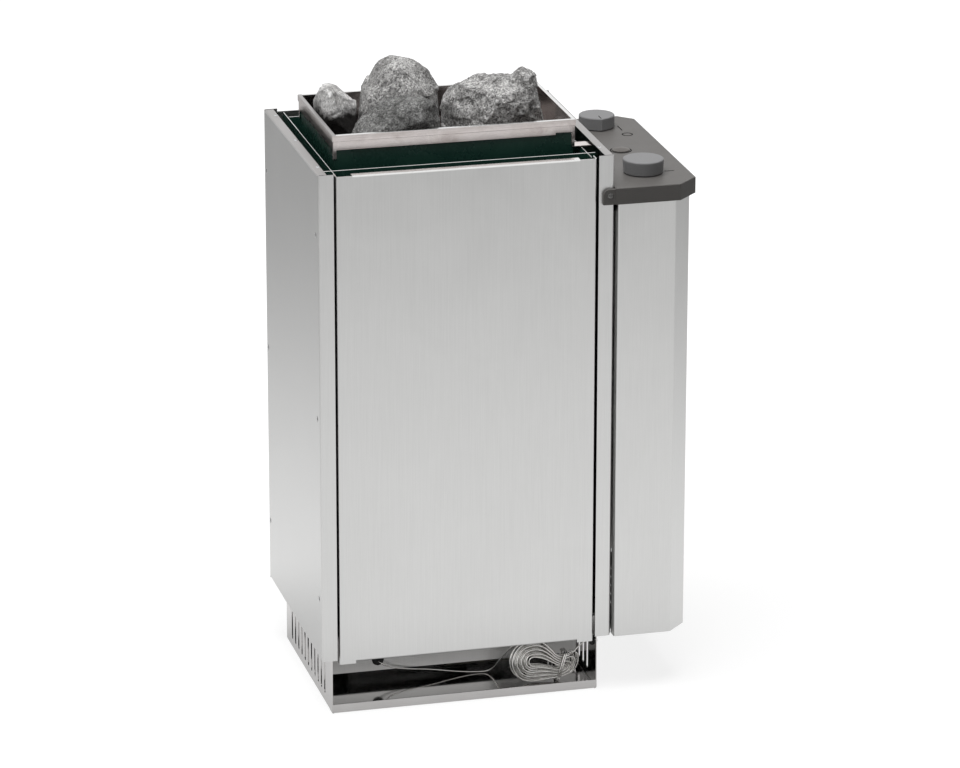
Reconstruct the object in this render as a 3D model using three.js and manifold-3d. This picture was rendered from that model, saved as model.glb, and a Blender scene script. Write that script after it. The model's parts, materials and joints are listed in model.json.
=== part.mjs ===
// Electric sauna heater with a stone container on top and a control box on its right side.
// Millimetres, +Z up, +X to the right and +Y to the wall. The casing's front left bottom corner is the
// working origin, and the finished group is moved so that it stands centred on the plane z = 0.

import * as THREE from 'three';
import { mergeVertices } from 'three/addons/utils/BufferGeometryUtils.js';
import Module from 'manifold-3d';

const wasm = await Module();
wasm.setup();

// Fits and sheet
const SEAT_GAP = 0.3;
const SHEET = 1.0;
const BEND_RADIUS = 1.2;
const BEND_STEPS = 3;
const RELIEF = 2.5;

// Casing
const CASING_WIDTH = 304;
const CASING_DEPTH = 252.5;
const CASING_HEIGHT = 515;
const FRONT_FLANGE = 16;
const BACK_FLANGE = 14;
const TOP_FLANGE = 9.5;
const FLANGE_STUB = 12;

// Front panel
const PANEL_GAP = 2.2;
const PANEL_DROP = 4.6;
const PANEL_TOP_STEP = 2.5;
const PANEL_RETURN = 12;
const HEM_DEPTH = 9;
const HEM_END = 17;
const HEM_STEP = 2;

// Rear panel and its hanging keyholes
const REAR_SHEET = 1.2;
const REAR_EDGE = 4;
const REAR_TOP_STEP = 3.5;
const KEYHOLE_SPACING = 180;
const KEYHOLE_TOP_STEP = 48;
const KEYHOLE_HEAD_RADIUS = 7;
const KEYHOLE_NECK_WIDTH = 6;
const KEYHOLE_NECK_LENGTH = 16;

// Base tray
const TRAY_INSET = 11.5;
const TRAY_SETBACK = 8;
const TRAY_REAR_STEP = 29.5;
const TRAY_DROP = 61;
const TRAY_RISE = 20;
const LIP_HEIGHT = 9.7;
const SLOT_COUNT = 11;
const SLOT_PITCH = 15.4;
const SLOT_FIRST = 33.5;
const SLOT_WIDTH = 5.6;
const SLOT_FOOT = 10.4;
const SLOT_LENGTH = 45;

// Terminal space in the base
const GUARD_SETBACK = 73;
const GUARD_FOOT = 12;
const GUARD_TOP = -8;
const GUARD_FLANGE = 14;
const BLOCK_LENGTH = 84;
const BLOCK_DEPTH = 30;
const BLOCK_HEIGHT = 24;
const BLOCK_POLES = 5;
const POLE_PITCH = 15;
const POLE_RADIUS = 4;
const BLOCK_CORNER = 3;
const BLOCK_INSET = 82.5;
const BLOCK_SETBACK = 60;
const GLAND_HOLE_RADIUS = 10;
const GLAND_X = 80;
const GLAND_HEIGHT = 30;
const GLAND_FLANGE_RADIUS = 14;
const GLAND_FLANGE = 8;
const GLAND_NUT = 11;
const GLAND_LENGTH = 20;
const GLAND_TAPER = 2;
const GLAND_TAIL = 6;
const GLAND_BORE_RADIUS = 5.5;

// Deck
const DECK_SHEET = 1.2;
const DECK_SLOT_WIDTH = 20;
const DECK_SLOT_MARGIN = 14;

// Inner shields
const SHIELD_SIDE = 20;
const SHIELD_FRONT = 28;
const SHIELD_REAR = 20;
const SHIELD_TOP_STEP = 4;
const SHIELD_EDGE = 12;
const NOTCH_DEPTH = 40;

// Stone frame and chamber
const RIM_SIDE_STEP = 26.5;
const RIM_FRONT = 50.4;
const RIM_REAR_STEP = 42.1;
const RIM_RISE = 25.3;
const RIM_HEIGHT = 15.5;
const RIM_HEM = 6.5;
const RIM_HEM_SHEET = 0.8;
const RIM_LIP = 3.8;
const RIM_STEP_WIDTH = 17;
const RIM_STEP = 2;
const POST_WIDTH = 3.6;
const POST_DROP = 25;
const FOOT_REACH = 18;
const FOOT_DEPTH = 14;
const LEDGE_WIDTH = 9;
const LEDGE_DEPTH_BELOW_RIM = 104;
const GRATE_HEIGHT = 6;
const GRATE_BAR = 4;
const GRATE_GAPS = 10;
const GRATE_BORDER = 7;

// Heating elements
const ELEMENT_COUNT = 3;
const ELEMENT_PITCH = 36;
const ELEMENT_RADIUS = 4.2;
const ELEMENT_SPAN = 132;
const ELEMENT_TOP_GAP = 16;
const ELEMENT_VALLEY = 110;
const ELEMENT_TAIL = 14;
const ELEMENT_BEND_STEPS = 6;
const ELEMENT_SIDES = 8;

// Control box
const BOX_GAP = 3.5;
const BOX_FRONT = -2;
const BOX_WIDTH = 80.5;
const BOX_REAR_STEP = 3.5;
const BOX_BOTTOM = -1;
const BOX_FRONT_CHAMFER = 20;
const BOX_BACK_CHAMFER = 13;
const BOX_RETURN = 12;
const MOUNT_PLATE_INSET = 10;
const MOUNT_VENTS = 6;
const MOUNT_VENT_PITCH = 24;
const MOUNT_VENT_WIDTH = 5;
const MOUNT_VENT_LENGTH = 40;

// Control cap
const CAP_FRONT = -5;
const CAP_OVERHANG = 6;
const CAP_REAR_OVERHANG = 1.5;
const CAP_DROP = 50.5;
const CAP_HEIGHT = 17;
const CAP_WALL = 2.4;
const CAP_EDGE = 1;
const CAP_FRONT_CHAMFER = 22;
const CAP_BACK_CHAMFER = 15;
const EAR_REACH = 12.5;
const EAR_RADIUS = 6;

// Controls
const KNOB_INSET = 39.5;
const THERMOSTAT_Y = 45;
const TIMER_REAR_STEP = 33.5;
const KNOB_CLEARANCE = 0.5;
const THERMOSTAT_KNOB_RADIUS = 21;
const THERMOSTAT_KNOB_HEIGHT = 14.4;
const TIMER_KNOB_RADIUS = 18.7;
const TIMER_KNOB_HEIGHT = 13;
const TIMER_NOSE = 2.4;
const TIMER_NOSE_HALF_ANGLE = 0.42;
const KNOB_EDGE = 0.8;
const SHAFT_RADIUS = 3;
const SHAFT_IN_KNOB = 9;
const SHAFT_IN_SWITCH = 10;
const SHAFT_HOLE_CLEARANCE = 0.6;
const TIMER_SWITCH_SIZE = 46;
const TIMER_SWITCH_HEIGHT = 40;
const THERMOSTAT_SWITCH_SIZE = 40;
const THERMOSTAT_SWITCH_HEIGHT = 34;
const SWITCH_CORNER = 5;
const THERMOSTAT_BLADES = 3;
const TIMER_BLADES = 4;
const BLADE_WIDTH = 6.3;
const BLADE_THICKNESS = 0.8;
const BLADE_LENGTH = 9;
const LENS_Y = 127;
const LENS_RADIUS = 8;
const LENS_FLANGE = 9.3;
const LENS_STEM = 3;
const LENS_RIM = 0.8;
const LENS_SHOULDER = 1.2;
const LENS_CURVE = 2.2;
const LENS_DOME = 2.5;
const CUTOUT_RADIUS = 13;
const CUTOUT_LENGTH = 26;
const CUTOUT_FOOT = 2;
const CUTOUT_FOOT_EDGE = 3;
const CUTOUT_BUTTON_RADIUS = 4.3;
const CUTOUT_BUTTON = 5;
const CUTOUT_Y = 127;
const CUTOUT_DROP = 64.5;

// Capillary of the thermostat
const CAPILLARY = 1.4;
const HANK_PITCH = 4.8;
const HANK_LAYERS = 6;
const HANK_TURNS = 4;
const HANK_INNER_RADIUS = 4.3;
const HANK_RUN = 25;
const HANK_LAYER_PITCH = 2.1;
const HANK_INSET = 48.5;
const HANK_Y = 34;
const HANK_SWAY = 1.8;
const HANK_SWAY_RATE = 2.2;
const WAIST_X = 18;
const WAIST_WIDTH = 15;
const WAIST_DEPTH = 0.52;
const WAIST_LIFT = 2.9;
const RUN_STEPS = 4;
const FOLD_STEPS = 8;
const LOOP_STEPS = 2 * (RUN_STEPS + FOLD_STEPS);
const HANK_SIDES = 6;
const LEAD_SIDES = 8;
const TIE_TURNS = 2;
const TIE_STEPS = 24;
const TIE_PITCH = 2;
const TIE_SLANT = 0.3;
const TIE_CORNER = 3.2;
const BUSH_Y = 24;
const BUSH_Z = -13;
const BUSH_RADIUS = 4;
const BUSH_FLANGE_RADIUS = 5.5;
const BUSH_FLANGE = 2;
const BUSH_TAIL = 4;
const BUSH_TAPER = 1;
const GROMMET_X = 77;
const GROMMET_HEIGHT = 24;
const GROMMET_RADIUS = 5;
const GROMMET_FLANGE_RADIUS = 6.5;

// Route of the capillary's free stretches, as steps in X, Y and height from the hank's foot or the grommet
const LEAD_IN_ROUTE = [[35, -6, 39], [29, -2.5, 30.5]];
const LEAD_OUT_FROM_HANK = [
  [-26, 15, 39.5], [-32, 20, 33], [-38, 28, 21], [-42, 34, 12], [-46, 38.5, 5], [-51.5, 42, 1],
  [-60, 43.6, 0.3], [-80, 44.2, 2.2],
];
const LEAD_OUT_TO_GROMMET = [
  [55, -2.6, 7.8], [29, -3, 11.2], [14, -4.2, 14.6], [7.5, -6.4, 18], [2.6, -7.8, 21.2],
];
const LEAD_IN_STEPS = 16;
const LEAD_OUT_STEPS = 60;

// Stones: number of fracture faces, and how far from the middle they lie in a stone of radius 1
const FRACTURES = 13;
const FRACTURE_LEAST = 0.72;
const FRACTURE_SPREAD = 0.22;
// A top stone has a ridge in a plane turned and tipped by these angles, and faces that lean away from it
const RIDGE_TURN = -0.253;
const RIDGE_TIP = 0.272;
const RIDGE_CLEAR = 0.5;
const LEAN_LEAST = 0.12;
const LEAN_SPREAD = 0.5;
const STONE_STEP = 3;
const STONE_HALVINGS = 6;

// Planes and faces that several pieces share
const TRAY_LEFT = TRAY_INSET;
const TRAY_RIGHT = CASING_WIDTH - TRAY_INSET;
const TRAY_BACK = CASING_DEPTH - TRAY_REAR_STEP;
const TRAY_FLOOR = -TRAY_DROP + SHEET;
const DECK_BOTTOM = TRAY_RISE + SEAT_GAP;
const DECK_TOP = DECK_BOTTOM + DECK_SHEET;
const STAND = DECK_TOP + SEAT_GAP;
const SHIELD_TOP = CASING_HEIGHT - SHIELD_TOP_STEP;
const RIM_TOP = CASING_HEIGHT + RIM_RISE;
const RIM_LEFT = RIM_SIDE_STEP;
const RIM_RIGHT = CASING_WIDTH - RIM_SIDE_STEP;
const RIM_BACK = CASING_DEPTH - RIM_REAR_STEP;
const CHAMBER_INSET = RIM_HEM_SHEET + SHEET + SEAT_GAP;
const CHAMBER_TOP = RIM_TOP - SHEET - SEAT_GAP;
const LEDGE_TOP = RIM_TOP - LEDGE_DEPTH_BELOW_RIM;
const GRATE_BOTTOM = LEDGE_TOP + SEAT_GAP;
const GRATE_TOP = GRATE_BOTTOM + GRATE_HEIGHT;
const GUARD_Y = TRAY_SETBACK + GUARD_SETBACK;
const BOX_LEFT = CASING_WIDTH + BOX_GAP;
const BOX_RIGHT = BOX_LEFT + BOX_WIDTH;
const BOX_BACK = CASING_DEPTH - BOX_REAR_STEP;
const CAP_LEFT = CASING_WIDTH + SEAT_GAP;
const CAP_RIGHT = BOX_RIGHT + CAP_OVERHANG;
const CAP_BACK = CASING_DEPTH + CAP_REAR_OVERHANG;
const CAP_BOTTOM = CASING_HEIGHT - CAP_DROP;
const CAP_TOP = CAP_BOTTOM + CAP_HEIGHT;
const CAP_UNDERSIDE = CAP_TOP - CAP_WALL;
const KNOB_X = BOX_LEFT + KNOB_INSET;
const TIMER_Y = CASING_DEPTH - TIMER_REAR_STEP;
const CUTOUT_Z = CAP_BOTTOM - CUTOUT_DROP;
const HANK_X = TRAY_RIGHT - HANK_INSET;
const BLOCK_CENTRE_X = TRAY_RIGHT - BLOCK_INSET;
const ELEMENT_CENTRE_Y = (RIM_FRONT + RIM_BACK) / 2;
const CHAMBER_CENTRE_X = (RIM_LEFT + RIM_RIGHT) / 2;

const vec2 = (x, y) => new THREE.Vector2(x, y);
const vec3 = (x, y, z) => new THREE.Vector3(x, y, z);

// Turns a closed geometry into a solid that can be joined and cut, with its faces pointing outwards.
function solid(geometry) {
  const bare = geometry.clone();
  bare.deleteAttribute('normal');
  bare.deleteAttribute('uv');
  const merged = mergeVertices(bare, 1e-4);
  const corners = merged.attributes.position.array;
  const index = merged.index.array;
  const triangles = [];
  let volume = 0;
  const a = vec3(0, 0, 0);
  const b = vec3(0, 0, 0);
  const c = vec3(0, 0, 0);
  for (let i = 0; i < index.length; i += 3) {
    const [p, q, r] = [index[i], index[i + 1], index[i + 2]];
    if (p === q || q === r || r === p) continue;
    triangles.push([p, q, r]);
    a.fromArray(corners, 3 * p);
    b.fromArray(corners, 3 * q);
    c.fromArray(corners, 3 * r);
    volume += a.dot(b.cross(c));
  }
  const outward = volume > 0 ? triangles : triangles.map(([p, q, r]) => [p, r, q]);
  return new wasm.Manifold(new wasm.Mesh({
    numProp: 3,
    vertProperties: new Float32Array(corners),
    triVerts: new Uint32Array(outward.flat()),
  }));
}

const join = (first, ...others) => others.reduce((whole, next) => whole.add(next), first);
const cut = (first, ...tools) => tools.reduce((rest, tool) => rest.subtract(tool), first);

function geometryOf(body) {
  const mesh = body.getMesh();
  const geometry = new THREE.BufferGeometry();
  geometry.setAttribute('position', new THREE.BufferAttribute(new Float32Array(mesh.vertProperties), 3));
  geometry.setIndex(new THREE.BufferAttribute(new Uint32Array(mesh.triVerts), 1));
  return geometry;
}

// The same solid moved by a matrix, which may also mirror it.
const moved = (body, matrix) => solid(geometryOf(body).applyMatrix4(matrix));
const mirroredAcross = (body, x) => moved(body, new THREE.Matrix4().set(
  -1, 0, 0, 2 * x, 0, 1, 0, 0, 0, 0, 1, 0, 0, 0, 0, 1));

function block(x0, x1, y0, y1, z0, z1) {
  const geometry = new THREE.BoxGeometry(x1 - x0, y1 - y0, z1 - z0);
  geometry.translate((x0 + x1) / 2, (y0 + y1) / 2, (z0 + z1) / 2);
  return solid(geometry);
}

const ALONG_X = new THREE.Matrix4().makeBasis(vec3(0, 1, 0), vec3(0, 0, 1), vec3(1, 0, 0));
const ALONG_Y = new THREE.Matrix4().makeBasis(vec3(1, 0, 0), vec3(0, 0, 1), vec3(0, -1, 0));

const extruded = (shape, length, curveSegments) => new THREE.ExtrudeGeometry(
  shape, { depth: length, bevelEnabled: false, curveSegments });

// An outline drawn in X and Y, Y and Z, or X and Z, drawn out along the third axis.
const alongZ = (shape, z0, z1, steps = 6) => solid(extruded(shape, z1 - z0, steps).translate(0, 0, z0));
const alongX = (shape, x0, x1, steps = 6) => solid(
  extruded(shape, x1 - x0, steps).applyMatrix4(ALONG_X).translate(x0, 0, 0));
const alongY = (shape, y0, y1, steps = 6) => solid(
  extruded(shape, y1 - y0, steps).applyMatrix4(ALONG_Y).translate(0, y1, 0));

// A revolved profile of radius and height pairs, about an upright axis through (x, y).
function turned(profile, x, y, z, segments) {
  const geometry = new THREE.LatheGeometry(profile.map(([r, h]) => vec2(r, h)), segments);
  return solid(geometry.rotateX(Math.PI / 2).translate(x, y, z));
}

function rectangle(x0, x1, y0, y1) {
  return new THREE.Shape([vec2(x0, y0), vec2(x1, y0), vec2(x1, y1), vec2(x0, y1)]);
}

function ring(x0, x1, y0, y1, wall) {
  const shape = rectangle(x0, x1, y0, y1);
  shape.holes.push(rectangle(x0 + wall, x1 - wall, y0 + wall, y1 - wall));
  return shape;
}

function disc(x, y, radius) {
  return new THREE.Shape().absarc(x, y, radius, 0, 2 * Math.PI, false);
}

function roundedRectangle(x0, x1, y0, y1, radius) {
  const shape = new THREE.Shape();
  shape.absarc(x1 - radius, y1 - radius, radius, 0, Math.PI / 2, false);
  shape.absarc(x0 + radius, y1 - radius, radius, Math.PI / 2, Math.PI, false);
  shape.absarc(x0 + radius, y0 + radius, radius, Math.PI, 1.5 * Math.PI, false);
  shape.absarc(x1 - radius, y0 + radius, radius, 1.5 * Math.PI, 2 * Math.PI, false);
  return shape;
}

// Replaces each inner corner of an open line by an arc of the radius given for it.
function withBends(line, radii) {
  const points = [line[0]];
  for (let i = 1; i < line.length - 1; i += 1) {
    const back = line[i - 1].clone().sub(line[i]).normalize();
    const ahead = line[i + 1].clone().sub(line[i]).normalize();
    const half = back.angleTo(ahead) / 2;
    const reach = radii[i] / Math.sin(half);
    const centre = back.clone().add(ahead).normalize().multiplyScalar(reach).add(line[i]);
    const from = back.multiplyScalar(radii[i] / Math.tan(half)).add(line[i]).sub(centre);
    const to = ahead.multiplyScalar(radii[i] / Math.tan(half)).add(line[i]).sub(centre);
    const sweep = Math.atan2(from.cross(to), from.dot(to));
    for (let k = 0; k <= BEND_STEPS; k += 1) {
      points.push(from.clone().rotateAround(vec2(0, 0), sweep * k / BEND_STEPS).add(centre));
    }
  }
  points.push(line[line.length - 1]);
  return points;
}

// The outline of a bent sheet. One face follows the line and the other lies a sheet to the line's right.
function bentSheet(corners, thickness = SHEET) {
  const face = corners.map(([x, y]) => vec2(x, y));
  const directions = face.slice(1).map((point, i) => point.clone().sub(face[i]).normalize());
  const rights = directions.map((d) => vec2(d.y, -d.x));
  const faceRadii = [];
  const backRadii = [];
  const back = face.map((point, i) => {
    const before = rights[Math.max(i - 1, 0)];
    const after = rights[Math.min(i, rights.length - 1)];
    const turnsRight = before.cross(after) < 0;
    faceRadii.push(turnsRight ? BEND_RADIUS + thickness : BEND_RADIUS);
    backRadii.push(turnsRight ? BEND_RADIUS : BEND_RADIUS + thickness);
    const mitre = before.clone().add(after).multiplyScalar(thickness / (1 + before.dot(after)));
    return mitre.add(point);
  });
  return new THREE.Shape([...withBends(face, faceRadii), ...withBends(back, backRadii).reverse()]);
}

// Side panel: a channel round the side, with a narrow flange folded in at the top and one at the bottom.
function leftSidePanel() {
  const channel = alongZ(bentSheet([
    [FRONT_FLANGE, 0], [0, 0], [0, CASING_DEPTH], [BACK_FLANGE, CASING_DEPTH],
  ]), 0, CASING_HEIGHT);
  const bend = BEND_RADIUS + SHEET;
  const [y0, y1] = [RELIEF, CASING_DEPTH - RELIEF];
  const topBend = block(-1, bend, y0, y1, CASING_HEIGHT - bend, CASING_HEIGHT + 1);
  const bottomBend = block(-1, bend, y0, y1, -1, bend);
  const topFlange = alongY(bentSheet([
    [0, CASING_HEIGHT - FLANGE_STUB], [0, CASING_HEIGHT], [TOP_FLANGE, CASING_HEIGHT],
  ]), y0, y1);
  const bottomFlange = alongY(bentSheet([[TRAY_LEFT - SEAT_GAP, 0], [0, 0], [0, FLANGE_STUB]]), y0, y1);
  return join(cut(channel, topBend, bottomBend), topFlange, bottomFlange);
}

// Front panel: side returns, and hems along the top and bottom that stop short of the corners.
function frontPanel() {
  const x0 = FRONT_FLANGE + PANEL_GAP;
  const x1 = CASING_WIDTH - FRONT_FLANGE - PANEL_GAP;
  const top = CASING_HEIGHT - PANEL_TOP_STEP;
  const bottom = -PANEL_DROP;
  const hemBottom = bottom + HEM_STEP;
  const bend = BEND_RADIUS + SHEET;
  const [h0, h1] = [x0 + HEM_END, x1 - HEM_END];
  const face = alongZ(bentSheet([[x1, PANEL_RETURN], [x1, 0], [x0, 0], [x0, PANEL_RETURN]]), bottom, top);
  const topHem = alongX(bentSheet([[0, top - FLANGE_STUB], [0, top], [HEM_DEPTH, top]]), h0, h1);
  const bottomHem = alongX(bentSheet([
    [HEM_DEPTH, hemBottom], [0, hemBottom], [0, hemBottom + FLANGE_STUB],
  ]), h0, h1);
  const topBend = block(h0, h1, -1, SHEET + 1, top - bend, top + 1);
  const bottomBend = block(h0, h1, -1, SHEET + 1, bottom - 1, hemBottom + bend);
  return join(cut(face, topBend, bottomBend), topHem, bottomHem);
}

// Keyhole: a round entry for a screw head with a narrow neck above it.
function keyhole(x, z) {
  const neck = KEYHOLE_NECK_WIDTH / 2;
  const entry = Math.asin(neck / KEYHOLE_HEAD_RADIUS);
  const shape = new THREE.Shape();
  shape.absarc(x, z, KEYHOLE_HEAD_RADIUS, Math.PI / 2 + entry, 2.5 * Math.PI - entry, false);
  shape.absarc(x, z + KEYHOLE_NECK_LENGTH, neck, 0, Math.PI, false);
  return shape;
}

function rearPanel() {
  const top = CASING_HEIGHT - REAR_TOP_STEP;
  const plate = rectangle(REAR_EDGE, CASING_WIDTH - REAR_EDGE, 0, top);
  for (const side of [-1, 1]) {
    plate.holes.push(keyhole(CASING_WIDTH / 2 + side * KEYHOLE_SPACING / 2, top - KEYHOLE_TOP_STEP));
  }
  const inner = CASING_DEPTH + SEAT_GAP;
  return alongY(plate, inner, inner + REAR_SHEET, 8);
}

// Upright slot with round ends, drawn in Y and Z.
function slotOutline(y, z0, z1, width) {
  const radius = width / 2;
  const shape = new THREE.Shape();
  shape.absarc(y, z1 - radius, radius, 0, Math.PI, false);
  shape.absarc(y, z0 + radius, radius, Math.PI, 2 * Math.PI, false);
  return shape;
}

// Base tray: folded floor and sides, a low lip in front, a rear wall, and a row of air slots in each side.
function baseTray() {
  const bottom = -TRAY_DROP;
  const channel = alongY(bentSheet([
    [TRAY_RIGHT, TRAY_RISE], [TRAY_RIGHT, bottom], [TRAY_LEFT, bottom], [TRAY_LEFT, TRAY_RISE],
  ]), TRAY_SETBACK, TRAY_BACK);
  const bend = BEND_RADIUS + SHEET;
  const frontBend = block(TRAY_LEFT + bend, TRAY_RIGHT - bend, TRAY_SETBACK - 1, TRAY_SETBACK + bend,
    bottom - 1, TRAY_FLOOR + 1);
  const lip = alongX(bentSheet([
    [TRAY_SETBACK + FLANGE_STUB, bottom], [TRAY_SETBACK, bottom], [TRAY_SETBACK, bottom + LIP_HEIGHT],
  ]), TRAY_LEFT + SHEET / 2, TRAY_RIGHT - SHEET / 2);
  const rearWall = block(TRAY_LEFT + SHEET / 2, TRAY_RIGHT - SHEET / 2, TRAY_BACK - SHEET, TRAY_BACK,
    bottom + SHEET / 2, TRAY_RISE);
  const slots = Array.from({ length: SLOT_COUNT }, (_, i) => alongX(slotOutline(
    TRAY_SETBACK + SLOT_FIRST + i * SLOT_PITCH,
    bottom + SLOT_FOOT, bottom + SLOT_FOOT + SLOT_LENGTH, SLOT_WIDTH,
  ), TRAY_LEFT - 1, TRAY_RIGHT + 1, 3));
  const glandHole = alongY(disc(GLAND_X, bottom + GLAND_HEIGHT, GLAND_HOLE_RADIUS),
    TRAY_BACK - SHEET - 1, TRAY_BACK + 1, 16);
  const bushHole = alongX(disc(BUSH_Y, BUSH_Z, BUSH_RADIUS + SEAT_GAP),
    TRAY_RIGHT - SHEET - 1, TRAY_RIGHT + 1, 12);
  return cut(join(cut(channel, frontBend), lip, rearWall), ...slots, glandHole, bushHole);
}

// Guard in front of the terminal space, with the opening that the capillary's grommet sits in.
function terminalGuard() {
  const x0 = TRAY_LEFT + SHEET + SEAT_GAP;
  const x1 = TRAY_RIGHT - SHEET - SEAT_GAP;
  const foot = TRAY_FLOOR + GUARD_FOOT;
  const face = alongX(bentSheet([
    [GUARD_Y, foot], [GUARD_Y, GUARD_TOP], [GUARD_Y + GUARD_FLANGE, GUARD_TOP],
  ]), x0 + SHEET / 2, x1 - SHEET / 2);
  const ends = [x0, x1 - SHEET].map((x) => block(x, x + SHEET,
    GUARD_Y + SHEET / 2, GUARD_Y + GUARD_FLANGE - 1, foot + 1, GUARD_TOP - 2 * BEND_RADIUS - 1));
  const opening = alongY(disc(GROMMET_X, TRAY_FLOOR + GROMMET_HEIGHT, GROMMET_RADIUS + SEAT_GAP),
    GUARD_Y - 1, GUARD_Y + SHEET + 1, 12);
  return cut(join(face, ...ends), opening);
}

// Terminal block: a ceramic bar with one wire entry and one screw well for each pole.
function terminalBlock() {
  const foot = TRAY_FLOOR + SEAT_GAP;
  const top = foot + BLOCK_HEIGHT;
  const middle = foot + BLOCK_HEIGHT / 2;
  const y0 = TRAY_BACK - BLOCK_SETBACK;
  const [x0, x1] = [BLOCK_CENTRE_X - BLOCK_LENGTH / 2, BLOCK_CENTRE_X + BLOCK_LENGTH / 2];
  const bar = alongZ(roundedRectangle(x0, x1, y0, y0 + BLOCK_DEPTH, BLOCK_CORNER), foot, top, 2);
  const tools = [];
  for (let i = 0; i < BLOCK_POLES; i += 1) {
    const x = BLOCK_CENTRE_X + (i - (BLOCK_POLES - 1) / 2) * POLE_PITCH;
    tools.push(alongY(disc(x, middle, POLE_RADIUS), y0 - 1, y0 + BLOCK_DEPTH / 3, 5));
    tools.push(alongZ(disc(x, y0 + BLOCK_DEPTH / 2, POLE_RADIUS), middle, top + 1, 5));
  }
  return cut(bar, ...tools);
}

// A flanged round bush, turned about Z and then laid along the direction given.
function flangedBush(profile, place, direction, segments) {
  const turn = new THREE.Quaternion().setFromUnitVectors(vec3(0, 0, 1), direction);
  const matrix = new THREE.Matrix4().compose(place, turn, vec3(1, 1, 1));
  const geometry = new THREE.LatheGeometry(profile.map(([r, h]) => vec2(r, h)), segments);
  return solid(geometry.rotateX(Math.PI / 2).applyMatrix4(matrix));
}

function mainsGland() {
  const neck = GLAND_HOLE_RADIUS - SEAT_GAP;
  const tail = -SHEET - SEAT_GAP - GLAND_TAIL;
  const profile = [
    [GLAND_BORE_RADIUS, tail], [neck, tail], [neck, SEAT_GAP], [GLAND_FLANGE_RADIUS, SEAT_GAP],
    [GLAND_FLANGE_RADIUS, GLAND_FLANGE], [neck, GLAND_NUT], [neck - GLAND_TAPER, GLAND_LENGTH],
    [GLAND_BORE_RADIUS, GLAND_LENGTH], [GLAND_BORE_RADIUS, tail],
  ];
  return flangedBush(profile, vec3(GLAND_X, TRAY_BACK, -TRAY_DROP + GLAND_HEIGHT), vec3(0, 1, 0), 16);
}

// Deck: the sheet that closes the casing's foot, with a hole for each element leg and air slots between them.
function deckPlate() {
  const [x0, x1] = [SHEET + SEAT_GAP, CASING_WIDTH - SHEET - SEAT_GAP];
  const [y0, y1] = [PANEL_RETURN + SEAT_GAP, CASING_DEPTH - SHEET - SEAT_GAP];
  const plate = new THREE.Shape([
    vec2(x0, y0), vec2(x1, y0), vec2(x1, y1 - BEND_RADIUS), vec2(x1 - BEND_RADIUS, y1),
    vec2(x0 + BEND_RADIUS, y1), vec2(x0, y1 - BEND_RADIUS),
  ]);
  for (let row = 0; row <= ELEMENT_COUNT; row += 1) {
    const y = ELEMENT_CENTRE_Y + (row - ELEMENT_COUNT / 2) * ELEMENT_PITCH;
    plate.holes.push(roundedRectangle(RIM_LEFT + DECK_SLOT_MARGIN, RIM_RIGHT - DECK_SLOT_MARGIN,
      y - DECK_SLOT_WIDTH / 2, y + DECK_SLOT_WIDTH / 2, DECK_SLOT_WIDTH / 2 - 1));
  }
  const legHoles = [];
  for (let row = 0; row < ELEMENT_COUNT; row += 1) {
    for (const side of [-1, 1]) {
      const x = CHAMBER_CENTRE_X + side * ELEMENT_SPAN / 2;
      const leg = disc(x, elementRow(row), ELEMENT_RADIUS + SEAT_GAP);
      legHoles.push(alongZ(leg, DECK_BOTTOM - 1, DECK_TOP + 1, 8));
    }
  }
  return cut(alongZ(plate, DECK_BOTTOM, DECK_TOP, 2), ...legHoles);
}

// Side shields run the full depth. The front shield crosses them, so each has half of the notch.
function leftInnerShield() {
  const sheet = block(SHIELD_SIDE, SHIELD_SIDE + SHEET,
    PANEL_RETURN + SEAT_GAP, CASING_DEPTH - SHEET - SEAT_GAP, STAND, SHIELD_TOP);
  const notch = block(SHIELD_SIDE - 1, SHIELD_SIDE + SHEET + 1, SHIELD_FRONT - SEAT_GAP,
    SHIELD_FRONT + SHEET + SEAT_GAP, SHIELD_TOP - NOTCH_DEPTH, SHIELD_TOP + 1);
  return cut(sheet, notch);
}

function frontInnerShield() {
  const sheet = block(SHIELD_EDGE, CASING_WIDTH - SHIELD_EDGE,
    SHIELD_FRONT, SHIELD_FRONT + SHEET, STAND, SHIELD_TOP);
  const foot = SHIELD_TOP - NOTCH_DEPTH + SEAT_GAP;
  const notches = [SHIELD_SIDE, CASING_WIDTH - SHIELD_SIDE - SHEET].map((x) => block(
    x - SEAT_GAP, x + SHEET + SEAT_GAP, SHIELD_FRONT - 1, SHIELD_FRONT + SHEET + 1, STAND - 1, foot));
  return cut(sheet, ...notches);
}

function rearInnerShield() {
  const y1 = CASING_DEPTH - SHIELD_REAR;
  const inside = SHIELD_SIDE + SHEET + SEAT_GAP;
  return block(inside, CASING_WIDTH - inside, y1 - SHEET, y1, STAND, SHIELD_TOP);
}

// Stone chamber: an upright sheet duct with a ledge inside that the grate lies on.
function stoneChamber() {
  const [x0, x1] = [RIM_LEFT + CHAMBER_INSET, RIM_RIGHT - CHAMBER_INSET];
  const [y0, y1] = [RIM_FRONT + CHAMBER_INSET, RIM_BACK - CHAMBER_INSET];
  const walls = alongZ(ring(x0, x1, y0, y1, SHEET), STAND, CHAMBER_TOP);
  const half = SHEET / 2;
  const ledge = alongZ(ring(x0 + half, x1 - half, y0 + half, y1 - half, LEDGE_WIDTH),
    LEDGE_TOP - SHEET, LEDGE_TOP);
  return join(walls, ledge);
}

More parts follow.
